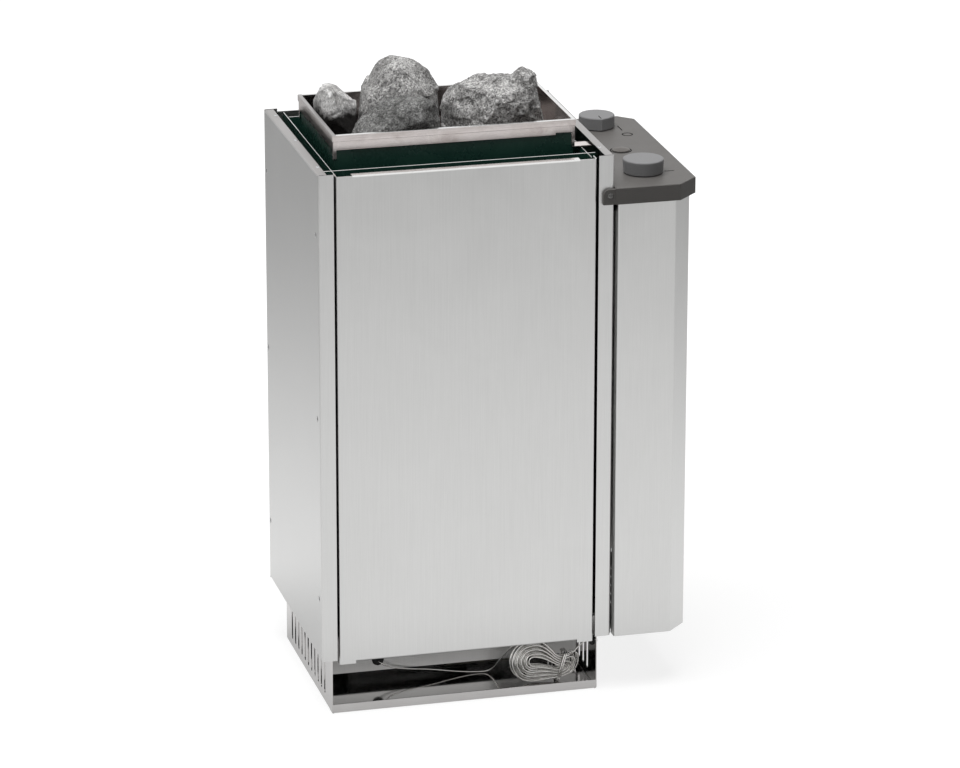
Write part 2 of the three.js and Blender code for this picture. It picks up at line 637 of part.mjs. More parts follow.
function stoneGrate() {
  const inset = CHAMBER_INSET + SHEET + SEAT_GAP;
  const [x0, x1] = [RIM_LEFT + inset, RIM_RIGHT - inset];
  const [y0, y1] = [RIM_FRONT + inset, RIM_BACK - inset];
  const gap = (x1 - x0 - 2 * GRATE_BORDER - (GRATE_GAPS - 1) * GRATE_BAR) / GRATE_GAPS;
  const gaps = Array.from({ length: GRATE_GAPS }, (_, i) => {
    const start = x0 + GRATE_BORDER + i * (gap + GRATE_BAR);
    return block(start, start + gap, y0 + GRATE_BORDER, y1 - GRATE_BORDER, GRATE_BOTTOM - 1, GRATE_TOP + 1);
  });
  return cut(block(x0, x1, y0, y1, GRATE_BOTTOM, GRATE_TOP), ...gaps);
}

// Stone frame: a rim of doubled sheet capping the chamber, with angle posts and two feet on the right.
function stoneFrame() {
  const skin = RIM_HEM_SHEET;
  const bottom = RIM_TOP - RIM_HEIGHT;
  const wallRing = ring(RIM_LEFT + skin, RIM_RIGHT - skin, RIM_FRONT + skin, RIM_BACK - skin, SHEET);
  const walls = alongZ(wallRing, bottom, RIM_TOP);
  const hem = alongZ(ring(RIM_LEFT, RIM_RIGHT, RIM_FRONT, RIM_BACK, SHEET), RIM_TOP - RIM_HEM, RIM_TOP);
  const lip = alongZ(ring(RIM_LEFT, RIM_RIGHT, RIM_FRONT, RIM_BACK, RIM_LIP), RIM_TOP - SHEET, RIM_TOP);
  const footTop = SHIELD_TOP + SEAT_GAP + SHEET;
  const step = block(RIM_RIGHT - RIM_STEP_WIDTH - POST_WIDTH, RIM_RIGHT - POST_WIDTH, RIM_FRONT - 1,
    RIM_FRONT + skin + SHEET, bottom - 1, bottom + RIM_STEP);
  const posts = [];
  for (const [x, inward] of [[RIM_LEFT + skin, 1], [RIM_RIGHT - skin, -1]]) {
    const foot = inward > 0 ? RIM_TOP - POST_DROP : footTop - SHEET;
    for (const [y, deeper] of [[RIM_FRONT + skin, 1], [RIM_BACK - skin, -1]]) {
      const leg = new THREE.Shape([
        vec2(x, y), vec2(x + inward * POST_WIDTH, y), vec2(x + inward * POST_WIDTH, y + deeper * SHEET),
        vec2(x + inward * SHEET, y + deeper * SHEET), vec2(x + inward * SHEET, y + deeper * POST_WIDTH),
        vec2(x, y + deeper * POST_WIDTH),
      ]);
      posts.push(alongZ(leg, foot, bottom + SHEET));
      if (inward > 0) continue;
      const [near, far] = [y, y + deeper * FOOT_DEPTH].sort((p, q) => p - q);
      posts.push(block(x - SHEET, x + FOOT_REACH, near, far, footTop - SHEET, footTop));
    }
  }
  return join(cut(walls, step), hem, lip, ...posts);
}

const elementRow = (row) => ELEMENT_CENTRE_Y + (row - (ELEMENT_COUNT - 1) / 2) * ELEMENT_PITCH;

// A tube of a given section along a path of straight runs and bends.
function tube(path, radius, sides, steps) {
  const section = new THREE.Shape();
  for (let i = 0; i < sides; i += 1) {
    const angle = 2 * Math.PI * (i + 0.5) / sides;
    const corner = [radius * Math.cos(angle), radius * Math.sin(angle)];
    if (i === 0) section.moveTo(...corner);
    else section.lineTo(...corner);
  }
  return new THREE.ExtrudeGeometry(section, { steps, extrudePath: path, bevelEnabled: false });
}

// A closed tube through rings set square to the path at the given points, with the flat side given.
function ringTube(points, tangents, side, radius, sides) {
  const positions = [];
  points.forEach((point, i) => {
    const normal = tangents[i].clone().cross(side).normalize();
    const across = normal.clone().cross(tangents[i]).normalize();
    for (let k = 0; k < sides; k += 1) {
      const angle = 2 * Math.PI * (k + 0.5) / sides;
      const corner = point.clone()
        .addScaledVector(normal, radius * Math.cos(angle))
        .addScaledVector(across, radius * Math.sin(angle));
      positions.push(corner.x, corner.y, corner.z);
    }
  });
  const index = [];
  const last = (points.length - 1) * sides;
  for (let i = 0; i < last; i += sides) {
    for (let k = 0; k < sides; k += 1) {
      const next = (k + 1) % sides;
      index.push(i + k, i + next, i + sides + k, i + next, i + sides + next, i + sides + k);
    }
  }
  for (let k = 1; k < sides - 1; k += 1) {
    index.push(0, k + 1, k, last, last + k, last + k + 1);
  }
  const geometry = new THREE.BufferGeometry();
  geometry.setAttribute('position', new THREE.Float32BufferAttribute(positions, 3));
  geometry.setIndex(index);
  return solid(geometry);
}

// Heating element: two outer legs through the deck, and an inner loop that hangs between two upper bends.
function heatingElement(row) {
  const y = elementRow(row);
  const bend = ELEMENT_SPAN / 6;
  const top = LEDGE_TOP - SHEET - ELEMENT_TOP_GAP - bend;
  const valley = STAND + ELEMENT_VALLEY + bend;
  const left = CHAMBER_CENTRE_X - ELEMENT_SPAN / 2;
  const points = [];
  const tangents = [];
  const mark = (x, z, angle) => {
    points.push(vec3(x, y, z));
    tangents.push(vec3(Math.cos(angle), 0, Math.sin(angle)));
  };
  const arc = (x, z, over) => {
    for (let k = 0; k <= ELEMENT_BEND_STEPS; k += 1) {
      const turn = Math.PI * k / ELEMENT_BEND_STEPS;
      const lift = over ? Math.sin(turn) : -Math.sin(turn);
      mark(x - bend * Math.cos(turn), z + bend * lift, over ? Math.PI / 2 - turn : -Math.PI / 2 + turn);
    }
  };
  mark(left, DECK_BOTTOM - ELEMENT_TAIL, Math.PI / 2);
  arc(left + bend, top, true);
  arc(left + 3 * bend, valley, false);
  arc(left + 5 * bend, top, true);
  mark(left + 6 * bend, DECK_BOTTOM - ELEMENT_TAIL, -Math.PI / 2);
  return ringTube(points, tangents, vec3(0, 1, 0), ELEMENT_RADIUS, ELEMENT_SIDES);
}

// Repeatable pseudo-random numbers between 0 and 1 for the broken faces of the stones.
function dice(seed) {
  let state = seed * 7919 + 17;
  return () => {
    state = (state * 16807) % 2147483647;
    return state / 2147483647;
  };
}

// Directions of a ridge's plane: along it, up it and out of it towards the front.
const RIDGE_ALONG = vec3(Math.cos(RIDGE_TURN), Math.sin(RIDGE_TURN), 0);
const RIDGE_OUT = vec3(
  Math.sin(RIDGE_TURN) * Math.cos(RIDGE_TIP), -Math.cos(RIDGE_TURN) * Math.cos(RIDGE_TIP), Math.sin(RIDGE_TIP));
const RIDGE_UP = RIDGE_OUT.clone().cross(RIDGE_ALONG);

const brokenOff = (body, normal, reach) => body.trimByPlane([-normal.x, -normal.y, -normal.z], -reach);

// Breaks a stone along its ridge: each edge is an angle and a reach, with one face leaning to each side of it.
function ridged(ball, edges, roll) {
  let body = ball;
  for (const [angle, reach] of edges) {
    const turn = THREE.MathUtils.degToRad(angle);
    const edge = RIDGE_ALONG.clone().multiplyScalar(Math.cos(turn)).addScaledVector(RIDGE_UP, Math.sin(turn));
    for (const side of [1, -1]) {
      const lean = LEAN_LEAST + LEAN_SPREAD * roll();
      const normal = edge.clone().multiplyScalar(Math.cos(lean)).addScaledVector(RIDGE_OUT, side * Math.sin(lean));
      body = brokenOff(body, normal, reach * Math.cos(lean));
    }
  }
  return body;
}

// A broken stone: a ball cut back to flat fracture faces in random directions, and to its ridge if it has one.
function stoneBody({ size, seed, detail, ridge, spur, foot }) {
  const roll = dice(seed);
  const half = vec3(...size).multiplyScalar(0.5);
  const ball = solid(new THREE.IcosahedronGeometry(1, detail).scale(half.x, half.y, half.z));
  let body = ridge ? ridged(ball, ridge, roll) : ball;
  for (let i = 0; i < FRACTURES; i += 1) {
    const height = 2 * roll() - 1;
    const angle = 2 * Math.PI * roll();
    const flat = Math.sqrt(1 - height * height);
    const normal = vec3(flat * Math.cos(angle), flat * Math.sin(angle), height);
    const reach = normal.clone().multiply(half).length() * (FRACTURE_LEAST + FRACTURE_SPREAD * roll());
    if (ridge && Math.abs(normal.dot(RIDGE_OUT)) < RIDGE_CLEAR) continue;
    body = brokenOff(body, normal, reach);
  }
  if (ridge) {
    const whole = spur ? body.add(ridged(ball, spur, roll)) : body;
    return brokenOff(whole, vec3(0, 0, -1), foot);
  }
  const box = new THREE.Box3().setFromBufferAttribute(geometryOf(body).attributes.position);
  const [extent, middle] = [box.getSize(vec3(0, 0, 0)), box.getCenter(vec3(0, 0, 0))];
  const fitted = new THREE.Matrix4().makeScale(size[0] / extent.x, size[1] / extent.y, size[2] / extent.z);
  return moved(body, fitted.multiply(new THREE.Matrix4().makeTranslation(middle.negate())));
}

// Stones in the order they are laid. Each lies at its place from the chamber's middle, on what is under it.
const STONES = [
  { name: 'stone_low_1', at: [-80, -37], size: [76, 70, 66], seed: 3, detail: 0 },
  { name: 'stone_low_2', at: [-1, -38], size: [74, 68, 70], seed: 5, detail: 0 },
  { name: 'stone_low_3', at: [78, -36], size: [78, 72, 64], seed: 8, detail: 0 },
  { name: 'stone_low_4', at: [-79, 37], size: [78, 70, 68], seed: 13, detail: 0 },
  { name: 'stone_low_5', at: [0, 37], size: [72, 72, 66], seed: 21, detail: 0 },
  { name: 'stone_low_6', at: [79, 37], size: [76, 70, 70], seed: 34, detail: 0 },
  {
    name: 'stone_right', at: [62, 0], size: [124, 100, 92], seed: 117, detail: 2, foot: 25,
    ridge: [[174, 55], [139, 49], [116, 39], [94, 35], [80, 38], [18, 45]],
    spur: [[166, -8], [114, 26], [76, 48], [8, 47], [270, 20]],
  },
  {
    name: 'stone_rear', at: [-29, 35], size: [104, 80, 104], seed: 37, detail: 2, foot: 32,
    ridge: [[176, 41], [148, 41], [117, 45], [80, 43], [56, 42], [31, 41], [1, 40]],
  },
  {
    name: 'stone_front', at: [-49, -42], size: [108, 66, 84], seed: 91, detail: 2, foot: 24,
    ridge: [[160, 44], [126, 32], [114, 31], [91, 33], [59, 41], [31, 46], [2, 43]],
  },
  {
    name: 'stone_left', at: [-95, 28], size: [54, 54, 72], seed: 160, detail: 2, foot: 24,
    ridge: [[176, 24], [154, 26], [112, 31], [75, 25], [45, 16], [16, 14]],
  },
];

// Lowers each stone on to the grate, the walls or the stones laid before it, and stops a seat gap above them.
function laidStones(carriers) {
  const lying = [...carriers];
  return STONES.map((stone) => {
    const body = stoneBody(stone);
    const skin = 1 + SEAT_GAP / (stone.foot ?? Math.min(...stone.size) / 2);
    const [x, y] = [CHAMBER_CENTRE_X + stone.at[0], ELEMENT_CENTRE_Y + stone.at[1]];
    const at = (z, scale) => moved(body, new THREE.Matrix4().makeScale(scale, scale, scale).setPosition(x, y, z));
    const touches = (z) => {
      const grown = at(z, skin);
      return lying.some((other) => !other.intersect(grown).isEmpty());
    };
    let free = RIM_TOP + 2 * stone.size[2];
    while (free > GRATE_TOP && !touches(free - STONE_STEP)) free -= STONE_STEP;
    let blocked = free - STONE_STEP;
    for (let i = 0; i < STONE_HALVINGS; i += 1) {
      const middle = (free + blocked) / 2;
      if (touches(middle)) blocked = middle;
      else free = middle;
    }
    const laid = at(free, 1);
    lying.push(laid);
    return [stone.name, laid];
  });
}

// Control box cover: a folded sheet round the front, right and back, open towards the casing.
function controlCover() {
  const line = [
    [BOX_LEFT, BOX_BACK - BOX_RETURN], [BOX_LEFT, BOX_BACK],
    [BOX_RIGHT - BOX_BACK_CHAMFER, BOX_BACK], [BOX_RIGHT, BOX_BACK - BOX_BACK_CHAMFER],
    [BOX_RIGHT, BOX_FRONT + BOX_FRONT_CHAMFER], [BOX_RIGHT - BOX_FRONT_CHAMFER, BOX_FRONT],
    [BOX_LEFT, BOX_FRONT], [BOX_LEFT, BOX_FRONT + BOX_RETURN],
  ];
  return alongZ(bentSheet(line), BOX_BOTTOM, CAP_UNDERSIDE - SEAT_GAP);
}

// Mounting plate: a shallow tray against the casing, with a vented floor folded under the control box.
function controlMountPlate() {
  const x1 = BOX_LEFT - SEAT_GAP;
  const [y0, y1] = [BOX_FRONT + MOUNT_PLATE_INSET, BOX_BACK - MOUNT_PLATE_INSET];
  const top = CAP_BOTTOM - MOUNT_PLATE_INSET;
  const plate = alongZ(bentSheet([
    [CASING_WIDTH + SEAT_GAP, y1], [x1, y1], [x1, y0], [CASING_WIDTH + SEAT_GAP, y0],
  ], SHEET), BOX_BOTTOM, top);
  const inner = SHEET + SEAT_GAP;
  const fx1 = BOX_RIGHT - inner;
  const fy0 = BOX_FRONT + BOX_FRONT_CHAMFER + inner;
  const fy1 = BOX_BACK - BOX_BACK_CHAMFER - inner;
  const floorShape = rectangle(x1 - SHEET / 2, fx1, fy0, fy1);
  const middle = (fy0 + fy1) / 2;
  for (let i = 0; i < MOUNT_VENTS; i += 1) {
    const y = middle + (i - (MOUNT_VENTS - 1) / 2) * MOUNT_VENT_PITCH;
    const x = (x1 + fx1) / 2;
    floorShape.holes.push(roundedRectangle(x - MOUNT_VENT_LENGTH / 2, x + MOUNT_VENT_LENGTH / 2,
      y - MOUNT_VENT_WIDTH / 2, y + MOUNT_VENT_WIDTH / 2, MOUNT_VENT_WIDTH / 2 - 0.1));
  }
  return join(plate, alongZ(floorShape, BOX_BOTTOM, BOX_BOTTOM + SHEET, 2));
}

function capOutline(inset) {
  const slant = inset * Math.tan(Math.PI / 8);
  const [x0, x1] = [CAP_LEFT + inset, CAP_RIGHT - inset];
  const [y0, y1] = [CAP_FRONT + inset, CAP_BACK - inset];
  const [front, back] = [CAP_FRONT_CHAMFER - inset + slant, CAP_BACK_CHAMFER - inset + slant];
  return new THREE.Shape([
    vec2(x0, y0), vec2(x1 - front, y0), vec2(x1, y0 + front),
    vec2(x1, y1 - back), vec2(x1 - back, y1), vec2(x0, y1),
  ]);
}

// Control cap: a moulded lid with a softened top edge, and an ear that reaches over the casing's flange.
function controlCap() {
  const lid = new THREE.ExtrudeGeometry(capOutline(0), {
    depth: CAP_HEIGHT, bevelSegments: 2,
    bevelThickness: CAP_EDGE, bevelSize: CAP_EDGE, bevelOffset: -CAP_EDGE,
  });
  const outer = solid(lid.translate(0, 0, CAP_BOTTOM - CAP_EDGE));
  const below = block(CAP_LEFT - 1, CAP_RIGHT + 1, CAP_FRONT - 1, CAP_BACK + 1,
    CAP_BOTTOM - 2 * CAP_EDGE - 1, CAP_BOTTOM);
  const hollow = alongZ(capOutline(CAP_WALL), CAP_BOTTOM - 1, CAP_UNDERSIDE);
  const [e0, e1] = [CAP_LEFT - EAR_REACH, CAP_LEFT + CAP_EDGE + 1];
  const earTop = CAP_TOP - CAP_EDGE;
  const ear = new THREE.Shape();
  ear.moveTo(e0, CAP_BOTTOM);
  ear.lineTo(e1, CAP_BOTTOM);
  ear.lineTo(e1, earTop);
  ear.absarc(e0 + EAR_RADIUS, earTop - EAR_RADIUS, EAR_RADIUS, Math.PI / 2, Math.PI, false);
  const earPlate = alongY(ear, CAP_FRONT + CAP_EDGE, -SEAT_GAP, 4);
  const shaftHole = (y) => alongZ(disc(KNOB_X, y, SHAFT_RADIUS + SHAFT_HOLE_CLEARANCE),
    CAP_UNDERSIDE - 1, CAP_TOP + 1, 12);
  const lensHole = alongZ(disc(KNOB_X, LENS_Y, LENS_RADIUS + SEAT_GAP), CAP_UNDERSIDE - 1, CAP_TOP + 1, 16);
  const shell = cut(outer, below, hollow);
  return cut(join(shell, earPlate), shaftHole(THERMOSTAT_Y), shaftHole(TIMER_Y), lensHole);
}

const KNOB_BOTTOM = CAP_TOP + KNOB_CLEARANCE;
const shaftTop = KNOB_BOTTOM + SHAFT_IN_KNOB;

// The hole in a knob's underside that takes its shaft.
const shaftSocket = (y) => alongZ(disc(KNOB_X, y, SHAFT_RADIUS + SEAT_GAP),
  KNOB_BOTTOM - 1, shaftTop + SEAT_GAP, 12);

function thermostatKnob() {
  const [r, h, e] = [THERMOSTAT_KNOB_RADIUS, THERMOSTAT_KNOB_HEIGHT, KNOB_EDGE];
  const profile = [[0, 0], [r - 2 * e, 0], [r - e, e], [r, h - e], [r - e, h], [0, h]];
  return cut(turned(profile, KNOB_X, THERMOSTAT_Y, KNOB_BOTTOM, 32), shaftSocket(THERMOSTAT_Y));
}

// Timer knob: round, with a pointed nose towards the front that shows the time set.
function timerKnob() {
  const outline = new THREE.Shape();
  const front = -Math.PI / 2;
  const nose = TIMER_KNOB_RADIUS + TIMER_NOSE;
  outline.absarc(KNOB_X, TIMER_Y, TIMER_KNOB_RADIUS, front + TIMER_NOSE_HALF_ANGLE,
    front - TIMER_NOSE_HALF_ANGLE + 2 * Math.PI, false);
  outline.lineTo(KNOB_X, TIMER_Y - nose);
  const geometry = new THREE.ExtrudeGeometry(outline, {
    depth: TIMER_KNOB_HEIGHT - 2 * KNOB_EDGE, curveSegments: 24, bevelSegments: 1,
    bevelThickness: KNOB_EDGE, bevelSize: KNOB_EDGE, bevelOffset: -KNOB_EDGE,
  });
  return cut(solid(geometry.translate(0, 0, KNOB_BOTTOM + KNOB_EDGE)), shaftSocket(TIMER_Y));
}

const switchTop = CAP_UNDERSIDE - SEAT_GAP;

// A control shaft with a flat along the end that the knob grips.
function controlShaft(y) {
  const rod = alongZ(disc(KNOB_X, y, SHAFT_RADIUS), switchTop - SHAFT_IN_SWITCH + SEAT_GAP, shaftTop, 10);
  const flat = block(KNOB_X - SHAFT_RADIUS, KNOB_X + SHAFT_RADIUS, y + SHAFT_RADIUS / 2, y + SHAFT_RADIUS + 1,
    KNOB_BOTTOM, shaftTop + 1);
  return cut(rod, flat);
}

// A switch body that hangs under the cap, with a bore for its shaft and a row of blades below.
function switchBody(y, size, height, blades) {
  const half = size / 2;
  const body = alongZ(roundedRectangle(KNOB_X - half, KNOB_X + half, y - half, y + half, SWITCH_CORNER),
    switchTop - height, switchTop, 3);
  const bore = alongZ(disc(KNOB_X, y, SHAFT_RADIUS + SEAT_GAP),
    switchTop - SHAFT_IN_SWITCH, switchTop + 1, 12);
  const tongues = [];
  const pitch = size / blades;
  for (let i = 0; i < blades; i += 1) {
    const x = KNOB_X + (i - (blades - 1) / 2) * pitch;
    for (const side of [-1, 1]) {
      const middle = y + side * size / 4;
      tongues.push(block(x - BLADE_THICKNESS / 2, x + BLADE_THICKNESS / 2, middle - BLADE_WIDTH / 2,
        middle + BLADE_WIDTH / 2, switchTop - height - BLADE_LENGTH, switchTop - height + 1));
    }
  }
  return cut(join(body, ...tongues), bore);
}

// Lens of the pilot lamp: a shallow dome with a flange on the cap and a neck in its hole.
function indicatorLens() {
  const rise = CAP_WALL + SEAT_GAP;
  const profile = [
    [0, -LENS_STEM], [LENS_RADIUS, -LENS_STEM], [LENS_RADIUS, rise], [LENS_FLANGE, rise],
    [LENS_FLANGE, rise + LENS_RIM], [LENS_RADIUS, rise + LENS_SHOULDER], [LENS_RADIUS / 2, rise + LENS_CURVE],
    [0, rise + LENS_DOME],
  ];
  return turned(profile, KNOB_X, LENS_Y, CAP_UNDERSIDE, 20);
}

// Safety cut-out: a round limiter on a square foot, held to the mounting plate.
function safetyCutout() {
  const face = BOX_LEFT;
  const tip = face + CUTOUT_LENGTH;
  const half = CUTOUT_RADIUS + CUTOUT_FOOT_EDGE;
  const foot = block(face, face + CUTOUT_FOOT,
    CUTOUT_Y - half, CUTOUT_Y + half, CUTOUT_Z - half, CUTOUT_Z + half);
  const barrel = alongX(disc(CUTOUT_Y, CUTOUT_Z, CUTOUT_RADIUS), face + CUTOUT_FOOT / 2, tip, 12);
  const button = alongX(disc(CUTOUT_Y, CUTOUT_Z, CUTOUT_BUTTON_RADIUS), tip - 1, tip + CUTOUT_BUTTON, 6);
  return join(foot, barrel, button);
}

// Hank of the capillary. Its loops stand on the tray's floor, spiral in and out in layers one behind another,
// and are gathered towards the floor at a waist.
const HANK_OUTER_RADIUS = HANK_INNER_RADIUS + HANK_TURNS * HANK_PITCH;
const HANK_FOOT = TRAY_FLOOR + SEAT_GAP + CAPILLARY / 2;
const gathered = (x) => Math.exp(-(((x - WAIST_X) / WAIST_WIDTH) ** 2));

// Turns are counted from the middle of an upper run, where the spiral reverses and the layer changes.
function hankPoint(step) {
  const turns = (step - RUN_STEPS / 2) / LOOP_STEPS;
  const layer = Math.min(Math.max(Math.floor(turns / HANK_TURNS), 0), HANK_LAYERS - 1);
  const along = turns - layer * HANK_TURNS;
  const level = layer % 2 === 0 ? HANK_TURNS - along : along;
  const radius = HANK_INNER_RADIUS + HANK_PITCH * level;
  let climb = 0;
  for (let border = 1; border < HANK_LAYERS; border += 1) {
    climb += THREE.MathUtils.smoothstep(turns, border * HANK_TURNS - 0.25, border * HANK_TURNS + 0.25);
  }
  const phase = ((step % LOOP_STEPS) + LOOP_STEPS) % LOOP_STEPS;
  const upper = phase < RUN_STEPS + FOLD_STEPS;
  const local = upper ? phase : phase - RUN_STEPS - FOLD_STEPS;
  const sign = upper ? 1 : -1;
  const turn = Math.PI * Math.max(local - RUN_STEPS, 0) / FOLD_STEPS;
  const run = HANK_RUN / 2 - HANK_RUN * Math.min(local, RUN_STEPS) / RUN_STEPS;
  const x = sign * (run - radius * Math.sin(turn)) + HANK_SWAY * Math.sin(HANK_SWAY_RATE * climb);
  const height = HANK_OUTER_RADIUS + sign * radius * Math.cos(turn);
  const z = HANK_FOOT + height * (1 - WAIST_DEPTH * gathered(x)) + WAIST_LIFT * gathered(x);
  return vec3(HANK_X + x, HANK_Y + climb * HANK_LAYER_PITCH, z);
}

// The hank starts one step before its first upper run and ends with its last one.
const HANK_FIRST = -1;
const HANK_LAST = (HANK_LAYERS * HANK_TURNS - 1) * LOOP_STEPS + RUN_STEPS;

const hankPoints = (finer) => Array.from(
  { length: (HANK_LAST - HANK_FIRST) * finer + 1 }, (_, i) => hankPoint(HANK_FIRST + i / finer));

// The hank's line, with one diameter of straight tube added at each end.
function hankLine() {
  const points = hankPoints(1);
  const first = points[0].clone().sub(hankPoint(HANK_FIRST + 0.2)).setLength(CAPILLARY);
  const last = points.at(-1).clone().sub(hankPoint(HANK_LAST - 0.2)).setLength(CAPILLARY);
  return [first.add(points[0]), ...points, last.add(points.at(-1))];
}

// Least clear gap between stretches of the hank that are not next to each other along it.
function leastHankGap(finer) {
  const points = hankPoints(finer);
  const apart = finer * LOOP_STEPS / 3;
  let least = Infinity;
  for (let i = 0; i < points.length; i += 1) {
    for (let j = i + apart; j < points.length; j += 1) {
      least = Math.min(least, points[i].distanceToSquared(points[j]));
    }
  }
  return Math.sqrt(least) - CAPILLARY;
}

// Directions of a line at its points. The end pieces are straight, and so are the rings beside them.
function tangentsOf(points) {
  const last = points.length - 1;
  return points.map((point, i) => {
    const from = i > last - 2 ? last - 1 : Math.max(i - 1, 0);
    const to = i < 2 ? 1 : Math.min(i + 1, last);
    return points[to].clone().sub(points[from]).normalize();
  });
}

function capillaryHank() {
  const points = hankLine();
  return ringTube(points, tangentsOf(points), vec3(0, 1, 0), CAPILLARY / 2, HANK_SIDES);
}

// Tie: a wire wound round the hank's waist, with its turns slanting.
function hankTie() {
  const clear = TIE_CORNER - (TIE_CORNER - CAPILLARY - 2 * SEAT_GAP) * Math.SQRT1_2;
  const reach = TIE_SLANT * HANK_OUTER_RADIUS / 2 + TIE_PITCH;
  const loose = gathered(WAIST_X + reach);
  const level = HANK_TURNS + RUN_STEPS / LOOP_STEPS;
  const height = (HANK_OUTER_RADIUS + HANK_INNER_RADIUS + HANK_PITCH * level) * (1 - WAIST_DEPTH * loose);
  const [y0, y1] = [HANK_Y - clear, HANK_Y + (HANK_LAYERS - 1) * HANK_LAYER_PITCH + clear];
  const [z0, z1] = [HANK_FOOT + WAIST_LIFT * loose - clear, HANK_FOOT + height + WAIST_LIFT + clear];
  const loop = roundedRectangle(y0, y1, z0, z1, TIE_CORNER).getSpacedPoints(TIE_STEPS);
  const points = Array.from({ length: TIE_TURNS * TIE_STEPS }, (_, i) => {
    const at = loop[i % TIE_STEPS];
    const x = WAIST_X + TIE_PITCH * (i / TIE_STEPS - TIE_TURNS / 2) + TIE_SLANT * (at.y - (z0 + z1) / 2);
    return vec3(HANK_X + x, at.x, at.y);
  });
  return ringTube(points, tangentsOf(points), vec3(1, 0, 0), CAPILLARY / 2, HANK_SIDES);
}

// A free stretch of the capillary through points chosen along its route.
const lead = (points, steps) => solid(tube(
  new THREE.CatmullRomCurve3(points, false, 'centripetal'), CAPILLARY / 2, LEAD_SIDES, steps));

const BUSH_FACE = TRAY_RIGHT - SHEET - SEAT_GAP - BUSH_FLANGE;
const GROMMET_FACE = GUARD_Y - SEAT_GAP - BUSH_FLANGE;

const stepsFrom = (x, y, route) => route.map(([dx, dy, up]) => vec3(x + dx, y + dy, HANK_FOOT + up));

function leadIn() {
  const [end, inside] = hankLine();
  const back = end.clone().sub(inside).normalize();
  const start = vec3(BUSH_FACE - SEAT_GAP, BUSH_Y, BUSH_Z);
  const meet = end.clone().addScaledVector(back, SEAT_GAP);
  return lead([
    start, start.clone().add(vec3(-2 * CAPILLARY, 0, 0)), ...stepsFrom(HANK_X, HANK_Y, LEAD_IN_ROUTE),
    meet.clone().addScaledVector(back, 2 * CAPILLARY), meet,
  ], LEAD_IN_STEPS);
}

function leadOut() {
  const start = hankLine().at(-1).add(vec3(-SEAT_GAP, 0, 0));
  const end = vec3(GROMMET_X, GROMMET_FACE - SEAT_GAP, TRAY_FLOOR + GROMMET_HEIGHT);
  return lead([
    start, start.clone().add(vec3(-2 * CAPILLARY, 0, 0)), ...stepsFrom(HANK_X, HANK_Y, LEAD_OUT_FROM_HANK),
    ...stepsFrom(GROMMET_X, GUARD_Y, LEAD_OUT_TO_GROMMET), end.clone().add(vec3(0, -2 * CAPILLARY, 0)), end,
  ], LEAD_OUT_STEPS);
}

// A bush with a flange inside a wall and a tapered tail through it, closed where the capillary meets it.
function wallBush(radius, flangeRadius, place, inward) {
  const neck = SHEET + SEAT_GAP;
  const tail = neck + BUSH_TAIL;
  const profile = [
    [0, -tail], [radius - BUSH_TAPER, -tail], [radius, -neck], [radius, 0],
    [flangeRadius, 0], [flangeRadius - BUSH_TAPER, BUSH_FLANGE], [0, BUSH_FLANGE],
  ];
  return flangedBush(profile, place, inward, 12);
}

const capillaryBush = () => wallBush(BUSH_RADIUS, BUSH_FLANGE_RADIUS,
  vec3(TRAY_RIGHT - SHEET - SEAT_GAP, BUSH_Y, BUSH_Z), vec3(-1, 0, 0));
const capillaryGrommet = () => wallBush(GROMMET_RADIUS, GROMMET_FLANGE_RADIUS,
  vec3(GROMMET_X, GUARD_Y - SEAT_GAP, TRAY_FLOOR + GROMMET_HEIGHT), vec3(0, -1, 0));

// Finishes, as colour, roughness and metalness
const BRUSHED_STEEL = { color: 0xc4c4c3, roughness: 0.38, metalness: 1 };
const MIRROR_STEEL = { color: 0x7f8583, roughness: 0.12, metalness: 1 };
const RIM_STEEL = { color: 0xbab3b0, roughness: 0.32, metalness: 1 };
const DARK_STEEL = { color: 0x1c2623, roughness: 0.25, metalness: 0.8 };
const STONE = { color: 0x77767a, roughness: 0.95, metalness: 0 };
const CAP_PLASTIC = { color: 0x4c4a49, roughness: 0.6, metalness: 0 };
const KNOB_PLASTIC = { color: 0x6f6f70, roughness: 0.55, metalness: 0 };
const BLACK_PLASTIC = { color: 0x1d1d1e, roughness: 0.5, metalness: 0 };
const CERAMIC = { color: 0xe4e0d4, roughness: 0.5, metalness: 0 };
const ELEMENT_STEEL = { color: 0x5b5650, roughness: 0.55, metalness: 0.9 };
const CAPILLARY_STEEL = { color: 0xb3aea4, roughness: 0.3, metalness: 1 };
const RUBBER = { color: 0x2a2a2b, roughness: 0.85, metalness: 0 };
const LENS = { color: 0xb9b4a8, roughness: 0.2, metalness: 0 };

const stove = new THREE.Group();

function place(name, body, finish) {
  const geometry = geometryOf(body);
  geometry.computeVertexNormals();
  const mesh = new THREE.Mesh(geometry, new THREE.MeshStandardMaterial(finish));
  mesh.name = name;
  stove.add(mesh);
}

const leftPanel = leftSidePanel();
const leftShield = leftInnerShield();
const chamber = stoneChamber();
const frame = stoneFrame();
const grate = stoneGrate();
const thermostatSwitch = switchBody(
  THERMOSTAT_Y, THERMOSTAT_SWITCH_SIZE, THERMOSTAT_SWITCH_HEIGHT, THERMOSTAT_BLADES);
const timerSwitch = switchBody(TIMER_Y, TIMER_SWITCH_SIZE, TIMER_SWITCH_HEIGHT, TIMER_BLADES);

